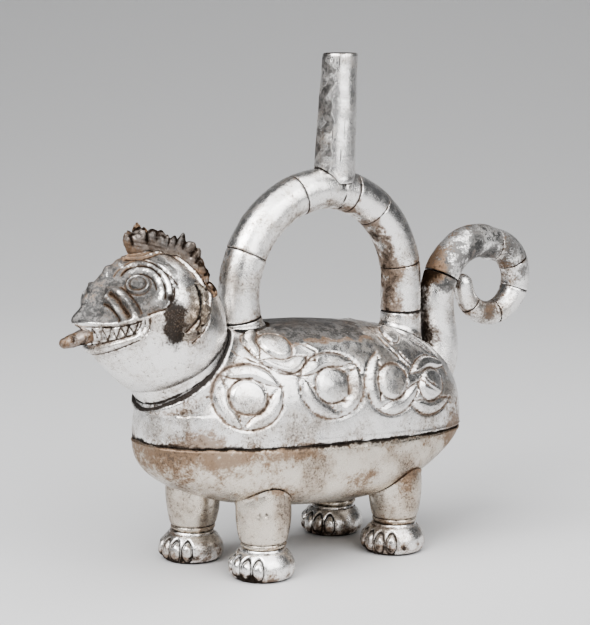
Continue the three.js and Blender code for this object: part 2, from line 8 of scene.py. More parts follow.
import bpy
import numpy as np
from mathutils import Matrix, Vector


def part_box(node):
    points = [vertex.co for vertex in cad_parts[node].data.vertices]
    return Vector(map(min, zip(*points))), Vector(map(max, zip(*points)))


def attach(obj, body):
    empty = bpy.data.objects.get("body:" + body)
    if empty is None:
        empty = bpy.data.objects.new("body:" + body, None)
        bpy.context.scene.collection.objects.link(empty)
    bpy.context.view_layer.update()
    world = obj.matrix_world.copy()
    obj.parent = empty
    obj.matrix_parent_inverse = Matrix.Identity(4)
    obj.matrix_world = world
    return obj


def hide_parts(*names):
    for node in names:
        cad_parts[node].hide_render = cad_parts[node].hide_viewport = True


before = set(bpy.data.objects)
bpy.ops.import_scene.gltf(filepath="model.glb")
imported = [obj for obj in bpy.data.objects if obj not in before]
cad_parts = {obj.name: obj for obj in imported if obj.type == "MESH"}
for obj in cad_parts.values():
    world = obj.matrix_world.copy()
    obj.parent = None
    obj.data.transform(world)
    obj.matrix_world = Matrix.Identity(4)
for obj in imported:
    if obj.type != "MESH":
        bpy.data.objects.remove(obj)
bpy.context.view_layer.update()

DEG = math.pi / 180
MM = 0.001

# ---------------------------------------------------------------- driving sizes

SEAM = 0.3
WALL = {"body": 1.2, "head": 1.2, "tube": 1.1, "leg": 1.2}
BODY = {
    "centre": np.array([1.0, 0.0, 56.2]), "tilt": 3.5 * DEG, "length": 81.7, "width": 34.7,
    "plan": 2.5, "rise": 48.0, "drop": 30.2, "chest": 3.1, "rump": 2.5,
    "belly_front": 2.4, "belly_rear": 1.6, "belly_side": 3.2,
}
NECK = {"centre": np.array([-60.3, 0.0, 90.3]), "lean": 32 * DEG, "length": 23.8, "width": 20.6}
HEAD = {
    "centre": np.array([-75.0, 0.0, 113.7]), "front": 31.8, "back": 28.5, "side": 25.5,
    "up": 28.6, "down": 28.0, "nape": 6.0, "face": 1.65,
}
ARCH = {
    "x": 12.2, "z": 116.7, "radius": 43.9, "tube": 8.9, "start": 191.5 * DEG, "end": -17 * DEG,
    "seams": [a * DEG for a in (155.3, 107.9, 70.8, 49.7, 10.3)],
}
SPOUT = {"base_x": 18.3, "top_x": 21.9, "top_z": 218.6, "base": 9.5, "top": 7.9, "foot": 2.2}
TAIL = {
    "x": 108.6, "z": 113.0, "inner": 15.9, "growth": 9.0, "unwind": 87 * DEG,
    "straight": 205 * DEG, "root": 262 * DEG, "root_bend": 17.6, "tip": -193 * DEG,
    "root_tube": 8.0, "tip_tube": 4.1, "flare": 1.2,
    "seams": [a * DEG for a in (171.9, 83.3, 27.8, -20.9, -78.7, -136.9)],
}
LEGS = {
    "front_left": (-32.8, -19.4), "front_right": (-41.0, 22.6),
    "rear_left": (38.6, -18.8), "rear_right": (35.8, 22.6),
}
LEG = {
    "ankle": 13.0, "ankle_radius": 9.2, "shin": 18.8, "shin_radius": 10.8,
    "calf": 25.0, "calf_radius": 11.8, "top": 42.0, "top_radius": 10.4,
}
PAW = {"radius": 14.0, "forward": 0.8}

# Directions along the neck's long radius and up its axis, and across the vessel.
NECK_LONG = np.array([math.cos(NECK["lean"]), 0, math.sin(NECK["lean"])])
NECK_UP = np.array([-math.sin(NECK["lean"]), 0, math.cos(NECK["lean"])])
ACROSS = np.array([0.0, 1.0, 0.0])

# The stirrup's two feet: the angle of each on the arch, and 1 where the angle falls towards the
# foot or -1 where it rises.
FEET = {"front": (ARCH["start"], -1), "rear": (ARCH["end"], 1)}

# The drawing axes meet the frame's at the spout's rim and on the body's middle plane.
spout_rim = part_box("spout")[1][0] / MM
shell_low, shell_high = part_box("body_lower_shell")
SHIFT = np.array([
    spout_rim - (SPOUT["top_x"] + SPOUT["top"]),
    (shell_low[1] + shell_high[1]) / 2 / MM,
    0.0,
])


def row(points):
    """Drawing millimetres to the frame's metres."""
    return (np.asarray(points) + SHIFT) * MM


# ---------------------------------------------------------------- number helpers

def smooth(value, low, high):
    t = np.clip((value - low) / (high - low), 0.0, 1.0)
    return t * t * (3 - 2 * t)


def bell(distance, half):
    return np.exp(-(distance / half) ** 2)


def mix(a, b, t):
    return a + (b - a) * t


def signed_power(value, power):
    return np.sign(value) * np.abs(value) ** power


def unit(vectors):
    return vectors / np.maximum(np.linalg.norm(vectors, axis=-1, keepdims=True), 1e-9)


def waves(points, size, seed, count=9):
    """Gentle hammered unevenness from -1 to 1, with dents about `size` across."""
    draw = np.random.default_rng(seed)
    heading = unit(draw.normal(size=(count, 3)))
    pitch = draw.uniform(0.6, 1.6, count)
    phase = draw.uniform(0, 2 * math.pi, count)
    along = points @ (heading * pitch[:, None]).T * (math.pi / size) + phase
    return np.sin(along).sum(axis=-1) / math.sqrt(count) / 1.4


def uneven(points, *layers):
    """Sum of waves over a grid of points, each layer given as height, size and seed."""
    flat = points.reshape(-1, 3)
    total = sum(tall * waves(flat, size, seed) for tall, size, seed in layers)
    return total.reshape(points.shape[:-1])


def on_left(points):
    """Points folded over the middle plane on to the left side, where y is below zero."""
    return points * np.array([1, 0, 1]) - np.abs(points) * ACROSS


def full_turn(columns):
    return np.linspace(0, 2 * math.pi, columns, endpoint=False)


def turn_from(turn, direction):
    """Signed angle from a direction, within half a turn either way."""
    return (turn - direction + math.pi) % (2 * math.pi) - math.pi


def turned(reach, turn, z, x=0.0):
    """Points at `reach` from an upright axis at x, for angles `turn` and heights z."""
    return np.stack([x + reach * np.cos(turn), reach * np.sin(turn), z], axis=-1)


def last_outside(low, high, is_outside):
    """Halves the stretch from low to high until it holds the last place that is still outside."""
    for _ in range(30):
        middle = (low + high) / 2
        outside = is_outside(middle)
        low = np.where(outside, middle, low)
        high = np.where(outside, high, middle)
    return low


def grid_normals(points):
    """Unit normals of a grid of points whose columns wrap round."""
    across = np.roll(points, -1, axis=1) - np.roll(points, 1, axis=1)
    return unit(np.cross(across, np.gradient(points, axis=0)))


def distance_to_line(points, line):
    """Distance from each point to a polyline, and how far along it (0 to 1) the nearest spot is."""
    line = np.asarray(line, dtype=float)
    if len(line) == 1:
        return np.linalg.norm(points - line[0], axis=-1), np.zeros(len(points))
    lengths = np.linalg.norm(np.diff(line, axis=0), axis=1)
    starts = np.concatenate([[0], np.cumsum(lengths)])
    best = np.full(len(points), 1e9)
    where = np.zeros(len(points))
    for i, length in enumerate(lengths):
        step = line[i + 1] - line[i]
        t = np.clip(((points - line[i]) @ step) / length ** 2, 0, 1)
        gap = np.linalg.norm(points - line[i] - t[:, None] * step, axis=-1)
        nearer = gap < best
        best = np.where(nearer, gap, best)
        where = np.where(nearer, (starts[i] + t * length) / starts[-1], where)
    return best, where


def curve_through(knots, count):
    """Points spread evenly along a Catmull-Rom curve through the knots."""
    knots = np.asarray(knots, dtype=float)
    padded = np.vstack([2 * knots[0] - knots[1], knots, 2 * knots[-1] - knots[-2]])
    dense = []
    for i in range(len(knots) - 1):
        p0, p1, p2, p3 = padded[i:i + 4]
        t = np.linspace(0, 1, 24, endpoint=False)[:, None]
        dense.append(0.5 * (2 * p1 + (p2 - p0) * t + (2 * p0 - 5 * p1 + 4 * p2 - p3) * t ** 2
                            + (3 * p1 - p0 - 3 * p2 + p3) * t ** 3))
    dense = np.vstack(dense + [knots[-1:]])
    run = np.concatenate([[0], np.cumsum(np.linalg.norm(np.diff(dense, axis=0), axis=1))])
    wanted = np.linspace(0, run[-1], count)
    return np.stack([np.interp(wanted, run, dense[:, k]) for k in range(3)], axis=1)


# ---------------------------------------------------------------- mesh helpers

def make_piece(name, points, faces, marks, nodes, slot, sheet=0.0, sharp=38 * DEG):
    """A mesh piece from drawing points, with one value of each mark for every point."""
    mesh = bpy.data.meshes.new(name)
    mesh.from_pydata(row(points).tolist(), [], [list(map(int, face)) for face in faces])
    for mark in ("tarnish", "patina", "stain"):
        layer = mesh.attributes.new(mark, "FLOAT", "POINT")
        values = np.broadcast_to(marks.get(mark, 0.0), (len(points),)).astype(np.float32)
        layer.data.foreach_set("value", np.clip(values, 0, 1))
    mesh.validate()
    mesh.polygons.foreach_set("use_smooth", [True] * len(mesh.polygons))
    mesh.set_sharp_from_angle(angle=sharp)
    piece = bpy.data.objects.new(name, mesh)
    bpy.context.scene.collection.objects.link(piece)
    if sheet:
        thick = piece.modifiers.new("sheet", "SOLIDIFY")
        thick.thickness = sheet * MM
        thick.offset = -1
        thick.use_rim = True
        thick.use_even_offset = False
    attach(piece, "root")
    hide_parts(*nodes)
    piece.data.materials.append(SILVER[slot])


def grid_faces(rows, columns, wrap_columns=True, wrap_rows=False):
    """Faces of a grid of rows x columns points."""
    r = np.arange(rows if wrap_rows else rows - 1)
    c = np.arange(columns if wrap_columns else columns - 1)
    r0, c0 = np.meshgrid(r, c, indexing="ij")
    r1 = (r0 + 1) % rows
    c1 = (c0 + 1) % columns
    corners = [r0 * columns + c0, r0 * columns + c1, r1 * columns + c1, r1 * columns + c0]
    return np.stack(corners, axis=-1).reshape(-1, 4)


def capped_faces(rows, columns):
    """Faces of a grid that wraps round, closed by a cap at each end."""
    first = list(range(columns))
    last = [(rows - 1) * columns + i for i in first]
    return [list(face) for face in grid_faces(rows, columns)] + [first[::-1], last]


def lined(marks, count, level, first=False):
    """Marks of a piece's outside, joined to one level for the `count` points of its lining."""
    lining = np.full(count, level)
    joined = {}
    for key, value in marks.items():
        outside = np.reshape(value, -1)
        joined[key] = np.concatenate([lining, outside] if first else [outside, lining])
    return joined


def cut_hole(points, faces, reach, push):
    """Drops the faces inside a hole (reach < 1) and pushes their last corners out on to its rim."""
    inside = reach < 1
    kept = faces[~inside[faces].all(axis=1)]
    rim = np.zeros(len(points), bool)
    rim[np.unique(kept)] = True
    moving = rim & inside
    points = points.copy()
    points[moving] = push(points[moving], reach[moving])
    return points, kept


def compact(points, faces, marks):
    """Leaves out the points that no face uses."""
    used = np.unique(faces)
    renumber = np.full(len(points), -1)
    renumber[used] = np.arange(len(used))
    kept = {key: np.broadcast_to(value, (len(points),))[used] for key, value in marks.items()}
    return points[used], renumber[faces], kept


# ---------------------------------------------------------------- materials

# Colours that lie over the silver.
FILM = (0.44, 0.37, 0.305)
SMOKE_DARK = (0.008, 0.0075, 0.007)
SMOKE_PALE = (0.14, 0.134, 0.129)
STAIN = (0.23, 0.14, 0.08)
# Dark brown of the tarnish, also used as painted shadow before the ears and round the neck joint.
TARNISH_AND_SHADE = (0.011, 0.0065, 0.004)
PITS = (0.05, 0.033, 0.022)
FLECKS = (0.15, 0.12, 0.10)


def silver_material(name, bright, warm, rough, filmy):
    """Hammered silver: polished metal, grey patina, and brown tarnish that also carries painted shadow,
    mottled at their edges.
    """
    material = bpy.data.materials.new(name)
    material.use_nodes = True
    nodes, links = material.node_tree.nodes, material.node_tree.links
    nodes.clear()

    def add(kind, **values):
        node = nodes.new(kind)
        for key, value in values.items():
            if key in node.inputs:
                node.inputs[key].default_value = value
            else:
                setattr(node, key, value)
        return node

    def wire(source, target):
        links.new(source, target)

    def noise(scale, detail, roughness=0.6):
        node = add("ShaderNodeTexNoise", Scale=scale, Detail=detail, Roughness=roughness)
        wire(place.outputs["Object"], node.inputs["Vector"])
        return node.outputs["Fac"]

    def span(value, low, high, to_low=0.0, to_high=1.0):
        node = add("ShaderNodeMapRange")
        node.interpolation_type = "SMOOTHSTEP"
        wire(value, node.inputs["Value"])
        node.inputs["From Min"].default_value = low
        node.inputs["From Max"].default_value = high
        node.inputs["To Min"].default_value = to_low
        node.inputs["To Max"].default_value = to_high
        return node.outputs["Result"]

    def maths(kind, first, second):
        node = add("ShaderNodeMath", operation=kind)
        for slot, value in enumerate((first, second)):
            if isinstance(value, (int, float)):
                node.inputs[slot].default_value = value
            else:
                wire(value, node.inputs[slot])
        return node.outputs[0]

    def blend(share, first, second):
        node = add("ShaderNodeMix", data_type="RGBA")
        wire(share, node.inputs["Factor"])
        for slot, value in (("A", first), ("B", second)):
            socket = [s for s in node.inputs if s.name == slot and s.type == "RGBA"][0]
            if isinstance(value, tuple):
                socket.default_value = (*value, 1)
            else:
                wire(value, socket)
        return [s for s in node.outputs if s.type == "RGBA"][0]

    def mark(name_of_mark):
        return add("ShaderNodeAttribute", attribute_name=name_of_mark).outputs["Fac"]

    plus, minus, times, larger = (
        partial(maths, kind) for kind in ("ADD", "SUBTRACT", "MULTIPLY", "MAXIMUM"))
    place = add("ShaderNodeTexCoord")
    cloud = noise(55, 5)
    mottle = noise(260, 7, 0.72)
    speck = noise(900, 6, 0.75)

    # Each mark eats into the silver where the mottling is strongest.
    grain = minus(plus(times(mottle, 0.55), times(speck, 0.45)), 0.5)
    cloudy = minus(cloud, 0.5)

    def eaten(mark_value, rough_edge, low, high):
        return span(plus(mark_value, times(grain, rough_edge)), low, high)

    patina = eaten(mark("patina"), 2.6, 0.22, 0.62)
    # The tarnish mark also holds painted shadow, before the ears and round the neck joint.
    tarnish = eaten(mark("tarnish"), 1.6, 0.22, 0.62)
    stain = eaten(plus(mark("stain"), times(cloudy, 1.1)), 3.0, 0.38, 0.86)
    film = span(plus(cloud, times(grain, 0.9)), 0.46, 0.66)
    pits = span(plus(speck, times(cloudy, 0.5)), 0.57, 0.65)
    flecks = span(plus(noise(1700, 3, 0.7), times(cloudy, 0.6)), 0.58, 0.68)

    tone = blend(span(cloud, 0.35, 0.68), bright, warm)
    smoke = blend(span(grain, -0.04, 0.05), SMOKE_DARK, SMOKE_PALE)
    for share, strength, colour in ((film, filmy, FILM), (patina, 0.95, smoke), (stain, 0.78, STAIN),
                                    (tarnish, 0.97, TARNISH_AND_SHADE), (pits, 0.7, PITS), (flecks, 0.5, FLECKS)):
        tone = blend(times(share, strength), tone, colour)

    dull = larger(times(patina, 0.24), times(stain, 0.25))
    dull = larger(larger(dull, times(tarnish, 0.4)), times(film, 0.10))
    gloss = plus(span(mottle, 0.3, 0.75, rough, rough + 0.16), dull)
    metal = minus(minus(1.0, times(tarnish, 0.75)), times(patina, 0.5))
    metal = larger(minus(metal, times(pits, 0.4)), 0.0)
    sheen = minus(0.5, times(tarnish, 0.4))
    sheen = larger(minus(sheen, times(patina, 0.2)), 0.0)

    hammered = add("ShaderNodeBump", Strength=0.5, Distance=0.001)
    wire(noise(95, 2, 0.4), hammered.inputs["Height"])
    fine = add("ShaderNodeBump", Strength=0.42, Distance=0.0003)
    wire(plus(mottle, times(speck, 0.5)), fine.inputs["Height"])
    wire(hammered.outputs["Normal"], fine.inputs["Normal"])

    shader = add("ShaderNodeBsdfPrincipled")
    wire(tone, shader.inputs["Base Color"])
    wire(gloss, shader.inputs["Roughness"])
    wire(metal, shader.inputs["Metallic"])
    wire(sheen, shader.inputs["Specular IOR Level"])
    wire(fine.outputs["Normal"], shader.inputs["Normal"])
    output = add("ShaderNodeOutputMaterial")
    wire(shader.outputs["BSDF"], output.inputs["Surface"])
    return material


# Bright and warm tone of each silver, its roughness and how much film lies on it.
SILVER_TONES = {
    "bright_silver": ((0.93, 0.915, 0.90), (0.86, 0.835, 0.805), 0.18, 0.5),
    "dull_silver": ((0.70, 0.645, 0.57), (0.52, 0.45, 0.375), 0.2, 0.75),
    "tarnished_silver": ((0.36, 0.315, 0.285), (0.12, 0.095, 0.078), 0.27, 0.5),
}
SILVER = {name: silver_material(name, *tones) for name, tones in SILVER_TONES.items()}

# ---------------------------------------------------------------- body

BODY_TURN = np.array([
    [math.cos(BODY["tilt"]), 0, math.sin(BODY["tilt"])],
    [0, 1, 0],
    [-math.sin(BODY["tilt"]), 0, math.cos(BODY["tilt"])],
])


def out_of_body(local):
    """Body axes (x along, z above the seam) to drawing axes."""
    return local @ BODY_TURN.T + BODY["centre"]


def into_body(points):
    return (points - BODY["centre"]) @ BODY_TURN


def body_power(angle, side):
    rearward = (1 + np.cos(angle)) / 2
    if side > 0:
        return mix(BODY["chest"], BODY["rump"], rearward)
    ends = mix(BODY["belly_front"], BODY["belly_rear"], rearward)
    return mix(ends, BODY["belly_side"], np.sin(angle) ** 4)


def body_skin(angle, level, side):
    """Skin in body axes: angle round the plan, level from the seam (0) to the ridge (pi/2)."""
    power = body_power(angle, side)
    reach = np.maximum(np.cos(level), 0) ** (2 / power)
    tall = BODY["rise"] if side > 0 else BODY["drop"]
    return np.stack([
        BODY["length"] * signed_power(np.cos(angle), 2 / BODY["plan"]) * reach,
        BODY["width"] * signed_power(np.sin(angle), 2 / BODY["plan"]) * reach,
        side * tall * np.sin(level) ** (2 / power),
    ], axis=-1)


def outside_body(points, side):
    """How far points lie outside the skin: below zero inside."""
    local = into_body(points)
    x, y, z = local[..., 0], local[..., 1], local[..., 2]
    n = BODY["plan"]
    angle = np.arctan2(signed_power(y / BODY["width"], n / 2), signed_power(x / BODY["length"], n / 2))
    power = body_power(angle, side)
    reach = (np.abs(x / BODY["length"]) ** n + np.abs(y / BODY["width"]) ** n) ** (1 / n)
    tall = BODY["rise"] if side > 0 else BODY["drop"]
    return reach ** power + (np.maximum(side * z, 0) / tall) ** power - 1


def flank_place(x, z):
    """Point and directions (along, up, out) of the left flank, in body axes."""
    power = BODY["chest"]
    angle = -math.pi / 2
    for _ in range(8):
        reach = (1 - (z / BODY["rise"]) ** power) ** (1 / power)
        n = BODY["plan"]
        y = -BODY["width"] * max(reach ** n - abs(x / BODY["length"]) ** n, 0) ** (1 / n)
        angle = math.atan2(signed_power(y / BODY["width"], n / 2),
                           signed_power(x / BODY["length"], n / 2))
        power = float(body_power(angle, 1))
    level = math.asin((z / BODY["rise"]) ** (power / 2))
    step = 0.02
    at = body_skin(np.array(angle), np.array(level), 1)
    rearward = body_skin(np.array(angle + step), np.array(level), 1) - at
    upward = unit(body_skin(np.array(angle), np.array(level + step), 1) - at)
    out = unit(np.cross(rearward, upward))
    along = unit(np.cross(upward, out))
    return at, along, upward, out


# Rosettes: a boss and its crescents, at a place along the body and above the seam. The first five
# stand where the solids have them, with flatter bosses. The last is a lone boss that is only here.
ROSETTE = {"boss": 7.5, "inner": 8.9, "outer": 14.2, "raised": 0.9, "crown": 0.5, "span": 114 * DEG,
           "curl": 5.0}
ROSETTES = [
    {"x": -49, "z": 21.5, "turns": (90, 210, 330), "long": 1.08, "tall": 0.93},
    {"x": -32, "z": 41.5, "turns": (200, 320), "long": 1.0, "tall": 0.8},
    {"x": -8.5, "z": 24.8, "turns": (105, 225, 345), "long": 1.14, "tall": 0.96},
    {"x": 24.6, "z": 24.6, "turns": (165, 285), "long": 1.05, "tall": 0.98},
    {"x": 49, "z": 21.5, "turns": (75, 250), "long": 1.1, "tall": 0.88},
    {"x": 33, "z": 43.0, "turns": (), "long": 0.9, "tall": 0.62},
]
GROOVE = {"half": 0.62, "deep": 0.5}

# Chased lines of the coat between the rosettes: places along the body and above the seam.
COAT_LINES = [
    [(22.4, 44.3), (24.4, 40.1), (31.5, 32.7), (44.4, 21.4), (64.8, 10.4)],
    [(25.5, 44.5), (27.6, 40.3), (34.5, 33.0), (47.0, 22.0), (66.0, 12.5)],
    [(-54.0, 39.5), (-45.0, 35.5), (-33.0, 31.5), (-22.0, 28.5)],
    [(-22.0, 36.5), (-16.5, 34.5), (-14.0, 38.5), (-19.0, 41.0)],
    [(46.0, 41.0), (53.0, 36.5), (60.0, 28.0), (64.0, 22.0)],
    [(59.4, 38.6), (66.0, 32.5), (73.0, 26.5)],
    [(30.0, 45.0), (38.0, 43.0), (47.0, 38.5), (56.0, 32.5)],
    [(34.0, 45.5), (44.0, 43.0), (54.0, 38.5), (62.0, 33.5)],
    [(40.0, 45.5), (50.0, 43.0), (59.0, 39.0), (67.0, 34.0)],
    [(56.0, 38.8), (62.5, 32.5), (68.5, 26.0)],
]
COAT = [[flank_place(x, z)[0] for x, z in line] for line in COAT_LINES]


def pad(distance, half_edge=0.8):
    """Raised pad with a soft edge, from the distance inside its outline."""
    return smooth(distance, -half_edge * 0.3, half_edge * 1.7)


def rosette_relief(local):
    """Height and tarnish of the coat for points in body axes, the same on both flanks."""
    near = on_left(local)
    height = np.zeros(len(near))
    dark = np.zeros(len(near))
    for spec in ROSETTES:
        at, along, up, out = flank_place(spec["x"], spec["z"])
        step = near - at
        a = step @ along / spec["long"]
        b = step @ up / spec["tall"]
        reach = np.hypot(a, b)
        close = (reach < ROSETTE["outer"] + 3) & (np.abs(step @ out) < 14)
        turn = np.arctan2(b, a)
        rim = ROSETTE["boss"] - reach
        boss = pad(rim) * ROSETTE["raised"] + ROSETTE["crown"] * np.clip(rim / ROSETTE["boss"], 0, 1)
        line = bell(rim + 0.55, GROOVE["half"])
        edge = bell(rim + 1.1, 0.7) * 0.25
        for direction in spec["turns"]:
            part = np.abs(turn_from(turn, direction * DEG)) / (ROSETTE["span"] / 2)
            curl = np.clip(part, 0, 1.1) ** ROSETTE["curl"]
            inner = mix(ROSETTE["inner"], ROSETTE["outer"] - 0.6, curl)
            within = np.minimum(ROSETTE["outer"] - reach, reach - inner)
            within = np.minimum(within, (1 - part) * ROSETTE["span"] / 2 * reach + 0.6)
            boss = np.maximum(boss, pad(within) * ROSETTE["raised"] * 1.05)
            line = np.maximum(line, bell(within + 0.55, GROOVE["half"]))
        height += np.where(close, boss - GROOVE["deep"] * line + edge, 0)
        dark = np.maximum(dark, np.where(close, line, 0))
    for line in COAT:
        gap, where = distance_to_line(near, line)
        taper = smooth(where, 0, 0.08) * smooth(1 - where, 0, 0.08)
        height += (0.5 * bell(gap, 1.5) - 0.75 * bell(gap, 0.55)) * taper
        dark = np.maximum(dark, bell(gap, 0.55) * taper)
    return height, dark


def neck_axes(points):
    """Neck coordinates: along its long and short radius, and up its axis."""
    step = points - NECK["centre"]
    return step @ NECK_LONG, step[..., 1], step @ NECK_UP


def shell_grid(around, levels):
    """Grids of levels and angles, from the seam row to the ridge row."""
    level = np.linspace(0, 1, levels) * math.pi / 2
    level[-1] = math.pi / 2 - 1e-3
    return np.meshgrid(level, full_turn(around), indexing="ij")


def upper_shell_marks(local, points, dark, ring):
    """Patina, stain and tarnish of the upper shell's outside, with painted shadow at the neck joint, for
    points in body and drawing axes.
    """
    x, y, z = local.T
    ragged = uneven(points, (1, 5, 8), (0.6, 2.2, 9))
    edge = 1.1 * ragged
    back = smooth(z, 41.0 + edge, 43.0 + edge) * smooth(x, -31, -24) * smooth(19 + 2 * ragged - x, 0, 3)
    smoky = 0.34 * smooth(z, 33, 44) * smooth(x, -64, -45) + 0.30 * smooth(-x, 50, 72) * smooth(z, 3, 20)
    patina = np.maximum(0.8 * back, smoky * (0.6 + 0.5 * ragged))
    back_edge = bell(z - 41.6 - edge, 0.8) * smooth(x, -31, -24) * smooth(21 - x, 0, 3)
    chest_spot = bell(np.hypot(x + 66, z - 3), 8)
    rump_spot = bell(np.hypot(x - 66, z - 6), 9)
    stain = 0.42 * bell(z, 4) + 0.75 * chest_spot + 0.6 * rump_spot
    stain = stain + 0.4 * bell(ring - 1.12, 0.10) + 0.9 * back_edge + 0.95 * dark + 0.12
    stain = stain + 0.35 * smooth(x, 52, 70) * smooth(z, 26, 38)
    tarnish = np.maximum(dark * 0.5, (0.75 + 0.35 * ragged) * bell(z, 0.55))
    # Dark ring on the rim of the neck's hole: partly tarnish of the joint, partly painted shadow.
    tarnish = np.maximum(tarnish, 0.85 * bell(ring - 1.0, 0.045))
    tarnish = np.maximum(tarnish, 0.4 * bell(ring - 1.16, 0.05))
    for end, turning in FEET.values():
        foot = arch_point(end - turning * 0.12)
        tarnish = np.maximum(tarnish, 0.75 * bell(np.linalg.norm(points - foot, axis=1) - 10.5, 1.6))
    return {"tarnish": tarnish, "patina": patina, "stain": stain}


def build_upper_shell():
    rows, inner_rows, columns = 188, 14, 484
    level, angle = shell_grid(columns, rows)
    local = body_skin(angle, level, 1)
    normals = grid_normals(out_of_body(local)).reshape(-1, 3)
    flat = local.reshape(-1, 3)
    height, dark = rosette_relief(flat)
    points = out_of_body(flat)
    ring = neck_reach(points)
    # The skin rises into a rolled lip round the neck, with a hollow outside it.
    lip = 1.5 * bell(ring - 1.05, 0.06) - 0.5 * bell(ring - 1.2, 0.07)
    height = height * smooth(ring, 1.08, 1.3) + lip
    height += 0.35 * bell(flat[:, 2] - 1.0, 0.7) - 0.35 * bell(flat[:, 2], 0.4)
    height += uneven(points, (0.28, 17, 4), (0.1, 6, 5))
    points = points + normals * height[:, None]
    marks = upper_shell_marks(flat, points, dark, ring)

    inner_level, inner_angle = shell_grid(columns, inner_rows)
    inner = body_skin(inner_angle, inner_level[::-1], 1).reshape(-1, 3)
    half_sizes = np.array([BODY["length"], BODY["width"], BODY["rise"]])
    inner = out_of_body(inner * (1 - WALL["body"] / half_sizes))
    points = np.concatenate([inner, points])
    marks = lined(marks, len(inner), 0.4, first=True)
    faces = grid_faces(inner_rows + rows, columns)
    points, faces = cut_hole(points, faces, neck_reach(points), lambda moving, _: neck_rim(moving))
    for end, turning in FEET.values():
        top, down = foot_axis(end, turning)
        step = points - top
        radial = step - (step @ down)[:, None] * down
        reach = np.linalg.norm(radial, axis=1) / (ARCH["tube"] - WALL["tube"])
        reach = np.where(np.linalg.norm(step, axis=1) < 30, reach, 9)

        def widen(moving, inside, top=top, down=down):
            rise = ((moving - top) @ down)[:, None] * down
            return top + rise + (moving - top - rise) / np.maximum(inside, 0.05)[:, None]

        points, faces = cut_hole(points, faces, reach, widen)
    points, faces, marks = compact(points, faces, marks)
    make_piece("upper_shell_skin", points, faces, marks, ["body_upper_shell"], "bright_silver")


def neck_reach(points):
    """How far out points lie from the neck's axis: 1 on the rim of the neck's hole."""
    long, short, up = neck_axes(points)
    ring = np.hypot(long / (NECK["length"] + SEAM), short / (NECK["width"] + SEAM))
    return np.where((points[:, 2] > 73.5) & (up > -30), ring, 9)


def neck_rim(points):
    """Points pushed out on to the oval of the neck's hole."""
    long, short, up = neck_axes(points)
    reach = np.hypot(long / (NECK["length"] + SEAM), short / (NECK["width"] + SEAM))
    reach = np.maximum(reach, 0.05)
    return (NECK["centre"] + (long / reach)[:, None] * NECK_LONG
            + (short / reach)[:, None] * ACROSS + up[:, None] * NECK_UP)


# Brown spots of the belly: place along the body and above the seam, half length and half height.
BELLY_SPOTS = ((-22, -3.0, 6.0, 1.6), (-58, -4.5, 7.0, 3.5), (70, -5.0, 10.0, 5.0), (8, -16, 14, 5))


def build_lower_shell():
    rows, columns = 70, 300
    level, angle = shell_grid(columns, rows)
    local = body_skin(angle, level, -1)
    normals = -grid_normals(out_of_body(local))
    flat = local.reshape(-1, 3)
    points = out_of_body(flat)
    height = 0.35 * bell(flat[:, 2] + 1.0, 0.7) - 0.35 * bell(flat[:, 2], 0.4)
    height += uneven(points, (0.3, 19, 14), (0.1, 7, 15))
    points = points + normals.reshape(-1, 3) * height[:, None] - np.array([0, 0, SEAM])
    x, y, z = flat.T
    ragged = uneven(points, (1, 5, 18), (0.6, 2.2, 19))
    stain = 0.42 * bell(z, 5) + 0.5 * smooth(-x, 10, 60) * bell(z + 9, 11) + 0.16
    stain = stain + 0.1 * waves(points, 14, 20)
    for along, up, long, tall in BELLY_SPOTS:
        stain = stain + 0.7 * bell(np.hypot((x - along) / long, (z - up) / tall), 1)
    tarnish = (0.75 + 0.35 * ragged) * bell(z, 0.55)
    for place in LEGS.values():
        gap = np.hypot(points[:, 0] - place[0], points[:, 1] - place[1]) - LEG["top_radius"]
        stain = stain + 0.45 * bell(gap, 3.5)
        tarnish = np.maximum(tarnish, 0.7 * bell(gap, 0.9))
    faces = grid_faces(rows, columns)[:, ::-1]
    make_piece("lower_shell_skin", points, faces, {"tarnish": tarnish, "stain": stain},
               ["body_lower_shell"], "dull_silver", WALL["body"])


# ---------------------------------------------------------------- bent tubes

def arch_point(angle):
    around = np.maximum(angle, 0.0)
    return np.stack([
        ARCH["x"] + ARCH["radius"] * np.cos(around),
        np.zeros_like(around),
        ARCH["z"] + ARCH["radius"] * (np.sin(around) + angle - around),
    ], axis=-1)


def foot_axis(end, turning):
    """End of the stirrup's axis at one foot, and the direction in which it runs on."""
    top = arch_point(end)
    return top, unit(arch_point(end - turning * 1e-3) - top)


def tail_point(angle):
    curled = np.minimum(angle, TAIL["straight"])
    rooted = angle - curled
    reach = TAIL["inner"] + TAIL["growth"] * np.maximum(curled - TAIL["unwind"], 0)
    cos, sin = np.cos(curled), np.sin(curled)
    return np.stack([
        TAIL["x"] + reach * cos + (TAIL["growth"] * cos - reach * sin) * rooted
        - TAIL["root_bend"] * rooted ** 3,
        np.zeros_like(curled),
        TAIL["z"] + reach * sin + (TAIL["growth"] * sin + reach * cos) * rooted,
    ], axis=-1)


def tail_radius(angle):
    gone = np.clip((150 * DEG - angle) / (343 * DEG), 0, 1)
    plain = mix(TAIL["root_tube"], TAIL["tip_tube"], gone ** 1.25)
    to_tip = (angle - TAIL["tip"]) * TAIL["inner"]
    closing = np.sqrt(np.maximum(1 - (1 - np.clip(to_tip / plain, 0, 1)) ** 2, 0.004))
    return plain * closing + TAIL["flare"] * smooth(
        angle, TAIL["straight"], TAIL["straight"] + 40 * DEG)


def tube_points(at, radius, s, turn, sheet=0.0):
    """Points of a tube at stations s (rows) and angles turn (columns)."""
    step = 1e-3
    along = unit(at(s + step) - at(s - step))
    out = np.stack([along[:, 2], np.zeros(len(s)), -along[:, 0]], axis=1)
    reach = (radius(s) - sheet)[:, None, None]
    return (at(s)[:, None, :] + reach * np.cos(turn)[None, :, None] * out[:, None, :]
            + reach * np.sin(turn)[None, :, None] * np.array([0, 1, 0]))


